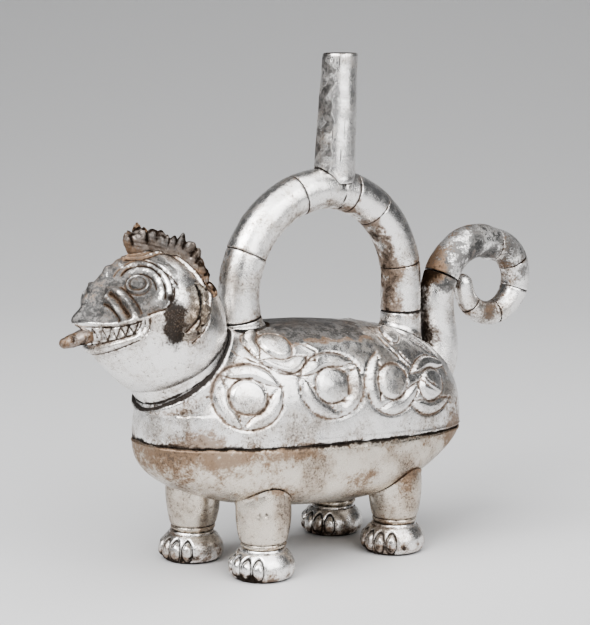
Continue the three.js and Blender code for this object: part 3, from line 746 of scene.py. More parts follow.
def build_tube(name, node, at, radius, start, end, rows, columns, marks_of, closed_end=False,
               relief=None):
    """A length of sheet tube with rounded edges at its ends."""
    span = np.linalg.norm(np.diff(at(np.linspace(start, end, 40)), axis=0), axis=1).sum()
    close = np.array([0.12, 0.3, 0.6]) / span
    share = np.sort(np.concatenate([np.linspace(0, 1, rows), close, 1 - close]))
    rows = len(share)
    s = mix(start, end, share)
    turn = full_turn(columns)
    outer = tube_points(at, radius, s, turn)
    middle = at(s)[:, None, :]
    run = np.concatenate([[0], np.cumsum(np.linalg.norm(np.diff(at(s), axis=0), axis=1))])
    to_end = np.minimum(run, 99 if closed_end else run[-1] - run)
    edge = (-0.2 * np.exp(-to_end / 0.25) + 0.08 * bell(to_end - 0.9, 0.5))[:, None]
    lumps = uneven(outer, (0.16, 11, len(name)), (0.06, 4, 3))
    height = edge + lumps * (radius(s) / 9)[:, None]
    if relief:
        height = height + relief(outer)
    outer = outer + unit(outer - middle) * height[..., None]
    inner = tube_points(at, radius, s[::-1], turn, WALL["tube"])
    if closed_end:
        bore = np.maximum(radius(s[::-1]) - WALL["tube"], 0.05)[:, None, None]
        inner = bore * unit(inner - middle[::-1]) + middle[::-1]
    points = np.concatenate([outer, inner]).reshape(-1, 3)
    marks = lined(marks_of(outer, s, to_end), rows * columns, 0.3)
    make_piece(name, points, grid_faces(2 * rows, columns, True, True), marks, [node], "bright_silver")


def crown_crease(outer):
    """Short crease in the crown of the stirrup, from the spout's foot down its left side."""
    x, y, z = np.moveaxis(outer, -1, 0)
    aside = np.abs(x - SPOUT["base_x"] - 0.6)
    low = ARCH["z"] + ARCH["radius"] - ARCH["tube"]
    return bell(aside, 0.42) * smooth(-y, 1, 3) * (z > low - 1.0)


# Streaks of the stirrup's rear leg: bearing in degrees, level and half length.
LEG_STREAKS = ((-70, 148, 5), (-58, 139, 6), (-88, 133, 4), (-48, 128, 5), (-76, 124, 3))


def streaks(outer):
    """Fine dark streaks along the rear leg of the stirrup."""
    x, y, z = np.moveaxis(outer, -1, 0)
    around = np.arctan2(y, x - ARCH["x"] - ARCH["radius"])
    dashes = np.zeros(x.shape)
    for bearing, level, length in LEG_STREAKS:
        aside = (around - bearing * DEG) * ARCH["tube"]
        dashes = np.maximum(dashes, bell(aside, 0.35) * bell(z - level, length))
    return 0.9 * dashes * (x > ARCH["x"] + 0.5 * ARCH["radius"])


def tube_marks(dark_side, smoky):
    """Marks of the arch: dark at its ends and on its inner side, and smoky on its left."""
    def marks_of(outer, s, to_end):
        ends = np.exp(-to_end / 0.3)[:, None] * 0.65
        ragged = uneven(outer, (1, 4, 21), (0.6, 2, 22))
        centre = outer.mean(axis=1, keepdims=True)
        out = unit(outer - centre)
        inward = unit(np.array([ARCH["x"], 0, ARCH["z"]]) - centre[:, 0])
        facing = np.einsum("ijk,ik->ij", out, inward)
        leftward = out[..., 0] * -0.8 + out[..., 1] * 0.6
        left = smooth(leftward, 0.55, 1.0) * (0.7 + 0.5 * ragged)
        inner_side = smooth(facing, 0.25, 0.95) * (0.8 + 0.4 * ragged)
        dark = np.maximum(ends, 0.9 * crown_crease(outer))
        near_end = np.exp(-to_end / 1.8)[:, None]
        return {
            "tarnish": np.maximum(dark, dark_side * 0.5 * inner_side + streaks(outer)),
            "patina": 0.75 * left * (1.0 if smoky else 0.8),
            "stain": 0.16 + dark_side * inner_side + 0.55 * near_end + 0.3 * left,
        }
    return marks_of


def build_arch():
    stops = [ARCH["start"], *ARCH["seams"], ARCH["end"]]
    names = ["leg_front", "bend_front", "crown_front", "crown_rear", "bend_rear", "leg_rear"]
    clear = SEAM / 2 / ARCH["radius"]
    shade = {"crown_rear": 0.55, "bend_rear": 0.85, "leg_rear": 0.85}
    for name, start, end in zip(names, stops, stops[1:]):
        rows = max(12, int((start - end) / (1.3 * DEG)))
        build_tube(f"arch_{name}", f"stirrup_{name}", arch_point, lambda s: np.full(len(s), ARCH["tube"]),
                   start - clear, end + clear, rows, 96,
                   tube_marks(shade.get(name, 0.35), name == "leg_front"),
                   relief=lambda outer: -0.55 * crown_crease(outer))
    for name, (end, turning) in FEET.items():
        build_collar(name, end, turning)


COLLAR = {"proud": 0.55, "shortest": 1.5, "longest": 22.0}


def build_collar(name, end, turning):
    """Collar at one foot of the stirrup, flared on to the back."""
    top, down = foot_axis(end, turning)
    side = np.array([down[2], 0, -down[0]])
    rows, columns = 16, 72
    turn = full_turn(columns)
    ring = np.cos(turn)[:, None] * side + np.sin(turn)[:, None] * ACROSS
    near = SEAM + 0.05
    radius = ARCH["tube"] + COLLAR["proud"]
    rim = top + ring * radius
    drop = last_outside(np.zeros(columns), np.full(columns, COLLAR["longest"]),
                        lambda way: outside_body(rim + way[:, None] * down, 1) > 0)
    drop = np.maximum(drop - SEAM, near + COLLAR["shortest"])
    t = np.linspace(0, 1, rows)[:, None]
    length = near + (drop - near)[None, :] * t
    swell = 0.25 * np.sin(math.pi * t) - 0.3 * bell(t, 0.06) + 0.9 * smooth(t, 0.55, 1.0) ** 2
    outer = top + length[..., None] * down + (radius - 0.5 + swell)[..., None] * ring
    inner = top + length[::-1][..., None] * down + (ARCH["tube"] - WALL["tube"]) * ring
    points = np.concatenate([outer, inner]).reshape(-1, 3)
    tarnish = np.broadcast_to(0.8 * bell(t, 0.09) + 0.55 * smooth(t, 0.8, 1.0), (rows, columns))
    marks = {**lined({"tarnish": tarnish}, rows * columns, 0.4), "stain": 0.45}
    make_piece(f"collar_{name}", points, grid_faces(2 * rows, columns, True, True), marks,
               [f"stirrup_collar_{name}"], "bright_silver")


# Streaks of the spout: bearing in degrees, level (0 at its foot, 1 at its rim) and length.
SPOUT_STREAKS = ((-128, 0.93, 9), (-118, 0.62, 16), (-104, 0.45, 14), (-112, 0.25, 10),
                 (-92, 0.7, 12), (-138, 0.4, 9), (-80, 0.3, 12))


def build_spout():
    """Spout: a tapering tube whose foot is cut to the crown of the arch."""
    columns, rows = 84, 90
    turn = full_turn(columns)
    arch_top = ARCH["z"] + ARCH["radius"]
    base_z = arch_top + SPOUT["foot"]

    def centre_x(z):
        return mix(SPOUT["base_x"], SPOUT["top_x"], (z - arch_top) / (SPOUT["top_z"] - arch_top))

    def radius(z):
        return mix(SPOUT["base"], SPOUT["top"], (z - arch_top) / (SPOUT["top_z"] - arch_top))

    clear = ARCH["tube"] + SEAM
    y = SPOUT["base"] * np.sin(turn)
    over = np.sqrt(np.maximum(clear ** 2 - y ** 2, 0))
    foot = np.full(columns, base_z)
    for _ in range(12):
        x = centre_x(foot) + radius(foot) * np.cos(turn)
        foot = ARCH["z"] + np.sqrt(np.maximum((ARCH["radius"] + over) ** 2 - (x - ARCH["x"]) ** 2, 0))
    foot = np.maximum(foot, base_z) + 0.1
    t = (np.linspace(0, 1, rows) ** 1.15)[:, None]
    z = foot[None, :] + (SPOUT["top_z"] - foot)[None, :] * t
    above = z - foot[None, :]
    flange = 0.15 * smooth(3.2 - above, 0, 1.6) - 0.15 * bell(above, 0.35)
    lip = -0.3 * np.exp(-(SPOUT["top_z"] - z) / 0.3)
    reach = radius(z) - 0.25 + flange + lip
    reach = reach + uneven(turned(reach, turn, z), (0.14, 12, 31), (0.06, 4, 32))
    outer = turned(reach, turn, z, centre_x(z))
    inner = turned(radius(z[::-1]) - WALL["tube"], turn, z[::-1], centre_x(z[::-1]))
    points = np.concatenate([outer, inner]).reshape(-1, 3)
    ragged = uneven(outer, (1, 6, 33), (0.7, 2.5, 34))
    left_strip = smooth(np.cos(turn - 182 * DEG)[None, :] + 0.07 * ragged, 0.74, 0.86)
    patina = 0.8 * left_strip * smooth(z, arch_top, arch_top + 8) * (0.7 + 0.5 * ragged)
    streak = np.zeros(z.shape)
    for bearing, share, length in SPOUT_STREAKS:
        aside = (turn - (bearing % 360) * DEG)[None, :] * SPOUT["top"]
        level = mix(arch_top, SPOUT["top_z"], share)
        streak = np.maximum(streak, bell(aside, 0.3) * bell(z - level, length / 2))
    tarnish = 0.2 * bell(above - 3.3, 0.5) + 0.7 * bell(above, 0.5) + 0.3 * bell(SPOUT["top_z"] - z, 0.5)
    tarnish = np.maximum(tarnish, 0.8 * streak)
    marks = {**lined({"tarnish": tarnish, "patina": patina}, z.size, 0.75), "stain": 0.15}
    make_piece("spout_tube", points, grid_faces(2 * rows, columns, True, True), marks, ["spout"],
               "bright_silver")


# Patina of the tail's lengths after the first, towards the tip.
TAIL_SMOKE = (0.52, 0.42, 0.2, 0.16, 0.2, 0.2)


def tail_marks(dark):
    """Marks of one length of the tail. The first has no `dark` value, and is the most stained."""
    first = dark is None

    def marks_of(outer, s, to_end):
        ends = np.exp(-to_end / 0.35)[:, None] * 0.7
        near_end = np.exp(-to_end / 2.0)[:, None]
        cloudy = uneven(outer, (0.3, 7, 41))
        patina = 0.75 * smooth(s, 190 * DEG, 180 * DEG)[:, None] if first else dark
        out = unit(outer - outer.mean(axis=1, keepdims=True))
        leftward = smooth(-0.81 * out[..., 0] + 0.59 * out[..., 1] + 0.6 * cloudy, -0.45, 0.75)
        return {
            "tarnish": np.maximum(ends, (0.62 if first else 0.3) * leftward * (0.9 + cloudy)),
            "patina": patina + cloudy,
            "stain": 0.2 + (0.75 if first else 0.45) * leftward + 0.25 * near_end + 0.5 * cloudy,
        }
    return marks_of


def build_tail():
    stops = [TAIL["root"], *TAIL["seams"], TAIL["tip"]]
    clear = SEAM / 2 / TAIL["inner"]
    for i, (start, end) in enumerate(zip(stops, stops[1:])):
        last = i == len(stops) - 2
        rows = max(14, int((start - end) / (2.2 * DEG)))
        build_tube(f"tail_ring_{i + 1}", f"tail_length_{i + 1}", tail_point, tail_radius,
                   start - clear, end + clear * (not last), rows, 60,
                   tail_marks(TAIL_SMOKE[i - 1] if i else None), closed_end=last)


# ---------------------------------------------------------------- head

def skull_radius(direction):
    """Distance from the head's centre to its plain skull, along unit directions."""
    x, y, z = direction[..., 0], direction[..., 1], direction[..., 2]
    long = np.where(x < 0, HEAD["front"], HEAD["back"])
    tall = np.where(z > 0, HEAD["up"], HEAD["down"])
    power = np.where(x < 0, HEAD["face"], 2.0)
    level = (np.abs(x / long) ** power + np.abs(y / HEAD["side"]) ** power) ** (1 / power)
    ovoid = 1 / np.hypot(level, z / tall)
    return ovoid + HEAD["nape"] * smooth(-direction @ NECK_UP, 0.1, 1)


def head_direction(turn, lift):
    turn, lift = np.asarray(turn) * DEG, np.asarray(lift) * DEG
    return np.stack([-np.cos(lift) * np.cos(turn), -np.cos(lift) * np.sin(turn), np.sin(lift)], axis=-1)


def skull_point(turn, lift):
    """Point of the plain skull from the head's centre: turn round from the snout, lift above level."""
    direction = head_direction(turn, lift)
    return direction * skull_radius(direction)[..., None]


def onto_skull(points):
    """Points moved along their rays from the head's centre on to the plain skull."""
    direction = unit(points)
    return direction * skull_radius(direction)[..., None]


def face_line(*places, count=40):
    """A drawn line of the face through (turn, lift) places."""
    knots = [skull_point(turn, lift) for turn, lift in places]
    return curve_through(knots, count) if len(knots) > 2 else np.array(knots)


def drawn(*lines):
    """Lines of the face, each from its (turn, lift) places, half width and height or depth."""
    return [(face_line(*places), half, tall) for places, half, tall in lines]


# Broad forms of the face: line, half width and height. The raised ones are in the solids too, up to
# six degrees away. The three sunk ones are only here.
FACE_FORMS = drawn(
    ([(0, 60), (0, 30), (0, 6)], 4.2, 0.8),
    ([(0, 56)], 2.6, 1.3),
    ([(0, 45.5)], 2.4, 1.7),
    ([(0, 26)], 2.5, 1.9),
    ([(0, 16)], 2.4, 1.6),
    ([(0, 3)], 3.8, 5.0),
    ([(41.5, 39.5)], 5.0, 1.4),
    ([(24, 34), (34, 50), (48, 50), (60, 40), (58, 26)], 5.0, -1.3),
    ([(38, 48)], 13.0, -1.6),
    ([(-40, 62), (0, 58), (40, 62)], 9.0, -1.5),
    ([(21, 26), (32, 17), (42, 5)], 3.4, 2.0),
    ([(0, -1), (13, 0), (29, 1), (40, 3.5), (50, 7)], 2.2, 1.3),
    ([(0, -21), (13, -20), (31, -15.5), (48, -9.5)], 2.6, 2.2),
    ([(15, 45), (28, 60), (52, 61), (70, 51), (77, 36), (76, 22)], 2.4, 0.7),
)

# Raised lines of the face: line, half width and height.
FACE_RIDGES = drawn(
    ([(14, 40), (17, 54), (30, 63), (52, 63), (70, 52), (77, 38), (76, 22)], 1.3, 0.3),
    ([(22, 42), (27, 52), (40, 57.5), (56, 55), (66, 45), (69, 33), (66, 20)], 1.2, 0.25),
    ([(24, 64), (48, 67.5), (70, 61), (82, 50), (85, 38)], 0.6, 0.4),
    ([(14, 22), (20, 20), (27, 14), (33, 7), (37, 3)], 1.1, 1.0),
    ([(18, 30), (27, 28), (36, 21), (43, 12), (46, 5)], 1.2, 1.2),
    ([(4, 1), (13, 1), (29, 2), (40, 4.5), (50, 8)], 0.5, 0.5),
)

# Chased grooves of the face: line, half width and depth.
FACE_GROOVES = drawn(
    ([(12, 38), (15, 57), (30, 66), (54, 65.5), (74, 54), (81, 38), (80, 24)], 0.5, 0.6),
    ([(18, 41), (22, 54), (36, 60.5), (55, 59), (69, 48), (73, 35), (71, 20)], 0.5, 0.6),
    ([(26, 40), (32, 49), (42, 53), (54, 50), (62, 42), (64, 32)], 0.45, 0.45),
    ([(62, 60), (76, 52), (85, 41), (89, 31)], 0.45, 0.45),
    ([(14, 16), (21, 14), (28, 8), (32, 3)], 0.7, 0.9),
    ([(17, 25.5), (25, 22.5), (33, 15), (40, 6)], 1.1, 1.3),
    ([(23, 33.5), (33, 29), (43, 20), (50, 9)], 0.6, 0.7),
    ([(53, 9), (61, 11.5), (73, 15.5), (81, 26), (84, 36)], 0.5, 0.35),
    ([(0, -2.5), (14, -2.2), (30, -1.0), (42, 1.8), (52, 5)], 0.55, 0.9),
    ([(0, -17), (12, -15.6), (24, -12.8), (36, -9.6), (47, -6)], 0.55, 0.9),
    ([(0, -24), (14, -23), (31, -18.5), (49, -11.5)], 0.5, 0.6),
    ([(52, 6), (51.5, 0), (48.5, -6)], 0.6, 0.8),
    ([(48.6, 4.4), (48, 0), (45.4, -5)], 0.45, 0.55),
    ([(56, 7), (56, -1), (52, -9)], 0.45, 0.45),
)
TEETH = {"count": 6, "half": 0.55, "deep": 0.8, "corner": 46.0, "low": (-16.2, -6.6), "high": (-3.8, 1.6)}
EYE = {"turn": 41.5, "lift": 39.5, "pupil": 3.0, "lid": 4.6}

# The double ridge below the crest, from the crown down behind the ear, on the left side.
BAND = np.array([
    (-88.6, 0, 141.1), (-83, -4.3, 142), (-76, -5.6, 142.5), (-70.7, -8, 141.3), (-68, -11.5, 138.5),
    (-65.5, -15, 134.5), (-62.5, -17.5, 129.5), (-60.7, -19.6, 123.2), (-63.0, -22.0, 118),
    (-66.5, -23.8, 113), (-73.2, -24.4, 107.8),
]) - HEAD["centre"]


def band_line(shift):
    """The band's line on the skull, moved by `shift` towards the back."""
    line = curve_through(BAND, 60)
    along = unit(np.gradient(line, axis=0))
    return onto_skull(line + shift * unit(np.cross(along, unit(line))))


def teeth_line():
    """Zigzag of pointed teeth between the lips, from the snout to the corner of the mouth."""
    knots = []
    for i in range(TEETH["count"] * 2 + 1):
        share = i / (TEETH["count"] * 2)
        low = mix(*TEETH["low"], share ** 1.3)
        high = mix(*TEETH["high"], share ** 1.6)
        knots.append(skull_point(TEETH["corner"] * share, low if i % 2 else high))
    return np.array(knots)


def face_relief(skull):
    """Height, groove darkness and shine of the face, for points from the head's centre."""
    near = on_left(skull)
    height = np.zeros(len(near))
    dark = np.zeros(len(near))
    shine = np.zeros(len(near))
    for line, half, tall in FACE_FORMS:
        gap, _ = distance_to_line(near, line)
        height += tall * bell(gap, half)
    for line, half, tall in FACE_RIDGES:
        gap, where = distance_to_line(near, line)
        ends = smooth(where, 0, 0.1) * smooth(1 - where, 0, 0.1)
        height += tall * bell(gap, half) * ends
        shine = np.maximum(shine, bell(gap, half * 1.1) * ends)
    for line, half, deep in FACE_GROOVES:
        gap, where = distance_to_line(near, line)
        ends = smooth(where, 0, 0.06) * smooth(1 - where, 0, 0.06)
        height -= deep * bell(gap, half) * ends
        dark = np.maximum(dark, bell(gap, half) * ends)
    gap, _ = distance_to_line(near, teeth_line())
    height -= TEETH["deep"] * bell(gap, TEETH["half"])
    dark = np.maximum(dark, bell(gap, TEETH["half"]))
    eye = np.linalg.norm(near - skull_point(EYE["turn"], EYE["lift"]), axis=1)
    round_pupil = bell(eye - EYE["pupil"] - 0.55, 0.4)
    round_lid = bell(eye - EYE["lid"] - 1.2, 0.5)
    height += 0.5 * smooth(EYE["pupil"] + 0.3 - eye, 0, 0.7) + 0.6 * bell(eye - EYE["lid"], 0.55)
    height -= 0.4 * round_pupil + 0.5 * round_lid
    dark = np.maximum(np.maximum(dark, round_pupil * 0.8), round_lid * 0.7)
    shine = np.maximum(shine, bell(eye - EYE["lid"], 0.6))
    for shift, sign in ((-1.25, 1), (1.25, 1), (-2.6, -1), (0.0, -1), (2.6, -1)):
        gap, _ = distance_to_line(near, band_line(shift))
        if sign > 0:
            height += 0.75 * bell(gap, 0.85)
            shine = np.maximum(shine, bell(gap, 0.7))
        else:
            height -= 0.35 * bell(gap, 0.5)
            dark = np.maximum(dark, bell(gap, 0.42))
    return height, dark, shine


def face_patina(turn, lift):
    """Share of dark patina over the face, for turn and lift in degrees."""
    lifts = [-90, 0, 2, 7, 11, 15, 26, 36, 50, 62, 90]
    edge = np.interp(lift, lifts, [-10, -10, 26, 52, 61, 72, 82, 92, 96, 90, 80])
    return smooth(edge - np.abs(turn), -2, 5)


def head_marks(flat, up_neck, dark, shine, upper):
    """Patina, stain and tarnish of the head's outside, with painted shadow before the ear and at the neck
    joint, for points from the head's centre.
    """
    rays = unit(flat)
    lift = np.arcsin(np.clip(rays[:, 2], -1, 1)) / DEG
    turn = np.abs(np.arctan2(-rays[:, 1], -rays[:, 0]) / DEG)
    mottling = waves(flat, 3.2, 53)
    nose = bell(turn, 16) * smooth(lift, 2, 8)
    cheek = bell(np.hypot((turn - 57) / 13, (lift - 20) / 7), 1)
    temple = smooth(turn, 66, 78)
    patina = face_patina(turn, lift) * (1.0 + 0.25 * mottling - 0.5 * shine)
    patina = patina * (1 - 0.2 * nose) * (1 - 0.3 * cheek) * (1 - 0.4 * temple)
    band_gap, _ = distance_to_line(on_left(onto_skull(flat)), band_line(0.0))
    patina = np.maximum(patina, 0.25 * bell(band_gap, 5) * (lift > 20))
    # Painted shadow in the hollow between the cheek and the ear, laid into the tarnish mark.
    painted_ear_shadow = bell(np.hypot((turn - 80 + 4 * mottling) / 9, (lift - 2) / 19), 1) ** 0.6
    tarnish = np.maximum(dark * 0.62 * upper, 1.1 * painted_ear_shadow)
    # Dark ring where the neck meets the body: partly tarnish of the joint, partly painted shadow.
    tarnish = np.maximum(tarnish, bell(up_neck + 0.2, 0.8) * (0.8 + 0.35 * mottling))
    stain = 0.14 + 0.4 * bell(band_gap, 3) + 0.3 * nose + 0.6 * dark + 0.2 * bell(up_neck - 1, 3)
    return {"tarnish": tarnish, "patina": patina, "stain": stain}


def build_head():
    columns, rows, inner_rows = 336, 246, 40
    around = np.linspace(-math.pi, math.pi, columns, endpoint=False)
    around = around + 0.22 * np.sin(around)
    oval = NECK["length"] * NECK["width"] / np.hypot(
        NECK["width"] * np.cos(around), NECK["length"] * np.sin(around))
    below = (NECK["centre"] - HEAD["centre"]) @ -NECK_UP
    rim = np.arctan2(oval, below + 4.0)
    spread = np.cos(around)[None, :, None] * NECK_LONG + np.sin(around)[None, :, None] * ACROSS

    def rays(t, wall):
        """Rays from the head's centre, the neck's reach along them and their height up the neck."""
        fall = mix(rim[None, :], math.pi - 2e-3, t[:, None])
        direction = np.sin(fall)[..., None] * spread - np.cos(fall)[..., None] * NECK_UP
        neck = np.where(fall < math.pi / 2, (oval[None, :] - wall) / np.sin(fall), 0)
        return direction, neck, below - neck * np.cos(np.minimum(fall, math.pi / 2))

    direction, neck, up_neck = rays(np.linspace(0, 1, rows), 0.0)
    # A soft fillet where the neck runs into the jaw and nape.
    reach = mix(neck, np.maximum(neck, skull_radius(direction)), smooth(up_neck, 0.6, 3.4))
    flat = (direction * reach[..., None]).reshape(-1, 3)
    up_neck = up_neck.reshape(-1)
    upper = smooth(up_neck, 3, 7)
    height, dark, shine = face_relief(onto_skull(flat))
    height = height * upper + 0.16 * waves(flat, 10, 51) + 0.07 * waves(flat, 4.5, 52)
    points = flat + unit(flat) * height[:, None]

    # The lining follows the sunk forms of the face, so that it stays behind them.
    direction, neck, up_inside = rays(np.linspace(1, 0, inner_rows), WALL["head"])
    skull = skull_radius(direction)
    sunk = face_relief((direction * skull[..., None]).reshape(-1, 3))[0].reshape(skull.shape)
    skull = skull - WALL["head"] + np.minimum(sunk, 0) * (up_inside > 5)
    reach = np.maximum(neck, np.where(up_inside < 5, 0, skull))
    inside = (direction * reach[..., None]).reshape(-1, 3)
    marks = lined(head_marks(flat, up_neck, dark, shine, upper), len(inside), 0.4, first=True)
    make_piece("head_shell", np.concatenate([inside, points]) + HEAD["centre"],
               grid_faces(inner_rows + rows, columns), marks, ["head"], "bright_silver", sharp=50 * DEG)


# ---------------------------------------------------------------- crest, ears, tongue

HAIRLINE = face_line(
    (130, 18), (125, 36), (122, 56), (105, 69), (55, 79), (0, 68),
    (-55, 79), (-105, 69), (-122, 56), (-125, 36), (-130, 18), count=600)
EAR_ROOT = face_line((112, 34), (112, 20), (107, 4), (98, -10), (86, -15), count=200)
CREST = {"lobes": 12, "tall": 9.6, "foot": 0.55, "low": 0.22, "tapered": 0.3}
EAR = {"tall": 9.0, "ruffles": 3}


def frill(name, node, root, steps, ups, rise, sway, thick, marks_of, slot, mirror=False):
    """Strip of crinkled sheet standing on the head along a root line."""
    u = np.linspace(0, 1, steps)
    spot = u * (len(root) - 1)
    base = np.stack([np.interp(spot, np.arange(len(root)), root[:, k]) for k in range(3)], axis=1)
    out = unit(base)
    across = unit(np.cross(unit(np.gradient(base, axis=0)), out))
    reach = np.linalg.norm(base, axis=1) + face_relief(onto_skull(base))[0]
    v = np.concatenate([np.linspace(0, 1, ups), np.linspace(1, 0, ups)])
    side = np.concatenate([np.full(ups, 1.0), np.full(ups, -1.0)])
    grid_u, grid_v = np.meshgrid(u, v, indexing="ij")
    height = rise(grid_u) * grid_v
    shift = sway(grid_u, grid_v) + thick(grid_u, grid_v) / 2 * side[None, :]
    points = (out[:, None, :] * (reach[:, None] + CREST["foot"] + height)[..., None]
              + across[:, None, :] * shift[..., None])
    crinkle = uneven(points, (0.5, 2.6, 61), (0.3, 1.3, 62)) * smooth(grid_v, 0, 0.3)
    torn = uneven(points, (0.25, 1.8, 63)) * smooth(grid_v, 0.75, 1.0)
    points = points + across[:, None, :] * (crinkle * side[None, :])[..., None]
    points = (points + out[:, None, :] * torn[..., None]).reshape(-1, 3)
    faces = capped_faces(steps, 2 * ups)
    if mirror:
        points = points * np.array([1, -1, 1])
    else:
        faces = [face[::-1] for face in faces]
    marks = {key: value.reshape(-1) for key, value in marks_of(grid_u, grid_v, crinkle).items()}
    make_piece(name, points + HEAD["centre"], faces, marks, [node], slot, sharp=70 * DEG)


def build_crest():
    lobes = CREST["lobes"]

    def small_lobe(u):
        drift = 0.4 + 0.8 * np.sin(u * 23) + 0.5 * np.sin(u * 61 + 1)
        return np.abs(np.sin(u * 2 * lobes * math.pi + drift))

    def lobed(u):
        return (0.62 + 0.16 * np.abs(np.sin(u * lobes * math.pi)) ** 0.8
                + 0.20 * small_lobe(u) + 0.07 * np.sin(u * 31 + 1) + 0.05 * np.sin(u * 117 + 2))

    def tapered(u):
        return mix(CREST["low"], 1, smooth(np.minimum(u, 1 - u), 0, CREST["tapered"]))

    def puffed(u, v):
        body = np.sin(math.pi * np.clip(v, 0, 1) ** 1.4) * small_lobe(u)
        tip = np.sqrt(np.maximum(1 - np.clip((v - 0.86) / 0.14, 0, 1) ** 2, 0.03))
        return (1.1 + 1.7 * body) * tip

    def leaning(u, v):
        return 0.9 * v * np.sin(u * lobes * 2 * math.pi) + 0.5 * v * v

    def marks_of(u, v, crinkle):
        gap = bell(small_lobe(u), 0.35) * smooth(v, 0.15, 0.6)
        tarnish = 0.31 + 0.45 * gap + 0.15 * smooth(v, 0.75, 1) - 0.5 * crinkle
        return {
            "tarnish": tarnish - 0.3 * bell(v - 0.3, 0.2),
            "patina": 0.35 + 0.2 * v,
            "stain": 0.6 + 0.3 * np.sin(9 * u + 2),
        }

    frill("crest_frill", "crest", HAIRLINE, 640, 34,
          lambda u: CREST["tall"] * lobed(u) * tapered(u), leaning, puffed, marks_of,
          "tarnished_silver")


def build_ears():
    def rise(u):
        ruffled = 0.68 + 0.32 * np.abs(np.sin(u * EAR["ruffles"] * math.pi))
        return EAR["tall"] * (0.45 + 0.55 * np.sin(math.pi * u)) * ruffled

    def sway(u, v):
        return v * v * 5 + 0.8 * v * np.sin(u * EAR["ruffles"] * 4 * math.pi)

    def thick(u, v):
        return 1.2 * np.sqrt(np.maximum(1 - np.clip((v - 0.9) / 0.1, 0, 1) ** 2, 0.05))

    def marks_of(u, v, crinkle):
        edge = np.abs(np.sin(u * EAR["ruffles"] * 2 * math.pi))
        tarnish = 0.1 + 0.5 * bell(v, 0.2) + 0.45 * bell(edge, 0.3) * v
        return {
            "tarnish": tarnish + 0.3 * smooth(v, 0.85, 1),
            "patina": 0.3 + 0.15 * v - 0.3 * crinkle,
            "stain": np.full_like(u, 0.3),
        }

    for side in ("left", "right"):
        frill(f"ear_leaf_{side}", f"ear_{side}", EAR_ROOT, 220, 30, rise, sway, thick, marks_of,
              "dull_silver", mirror=side == "right")


# The tongue's axis and radii, the share of its length inside the mouth, and how flat it is.
TONGUE = {"root": (-98.0, 0, 110.1), "tip": (-118.5, 0, 105.7), "root_radius": 4.9, "tip_radius": 2.4,
          "hidden": 0.28, "flat": 0.85}


def build_tongue():
    root, tip = np.array(TONGUE["root"]), np.array(TONGUE["tip"])
    length = np.linalg.norm(tip - root)
    aim = unit(tip - root)
    over = np.cross(aim, ACROSS)
    rows, columns = 60, 48
    t = np.linspace(TONGUE["hidden"], 1, rows)
    radius = mix(TONGUE["root_radius"], TONGUE["tip_radius"], np.clip(t / 0.985, 0, 1) ** 1.1)
    radius = radius * np.sqrt(np.maximum(1 - (1 - np.clip((1 - t) * length / 2.2, 0, 1)) ** 2, 0.002))
    turn = full_turn(columns)
    ring = np.cos(turn)[None, :, None] * ACROSS + TONGUE["flat"] * np.sin(turn)[None, :, None] * over
    points = root + (t * length)[:, None, None] * aim + radius[:, None, None] * ring
    flat = points.reshape(-1, 3)
    lump = 0.16 * waves(flat, 2.5, 71).reshape(rows, columns) * smooth(1 - t, 0, 0.15)[:, None]
    points = points + lump[..., None] * ring
    marks = {"tarnish": 0.3 + 0.35 * waves(flat, 3, 72), "stain": 0.7, "patina": 0.3}
    make_piece("tongue_tip", points.reshape(-1, 3), [face[::-1] for face in capped_faces(rows, columns)],
               marks, ["tongue"], "tarnished_silver", sharp=60 * DEG)


# ---------------------------------------------------------------- legs and paws

LEG_FIT = np.polyfit([LEG["ankle"] + SEAM, LEG["shin"], LEG["calf"], LEG["top"]],
                     [LEG["ankle_radius"], LEG["shin_radius"], LEG["calf_radius"], LEG["top_radius"]], 3)

# Small dents of a leg: bearing in degrees, height, half width, half height and depth.
DENTS = {"front_left": ((-134, 29.5, 0.8, 1.7, 1.0), (-118, 29.5, 0.8, 1.5, 0.9),
                        (-140, 21.0, 2.4, 3.0, 0.5), (-95, 31.0, 4.0, 3.4, 0.5))}


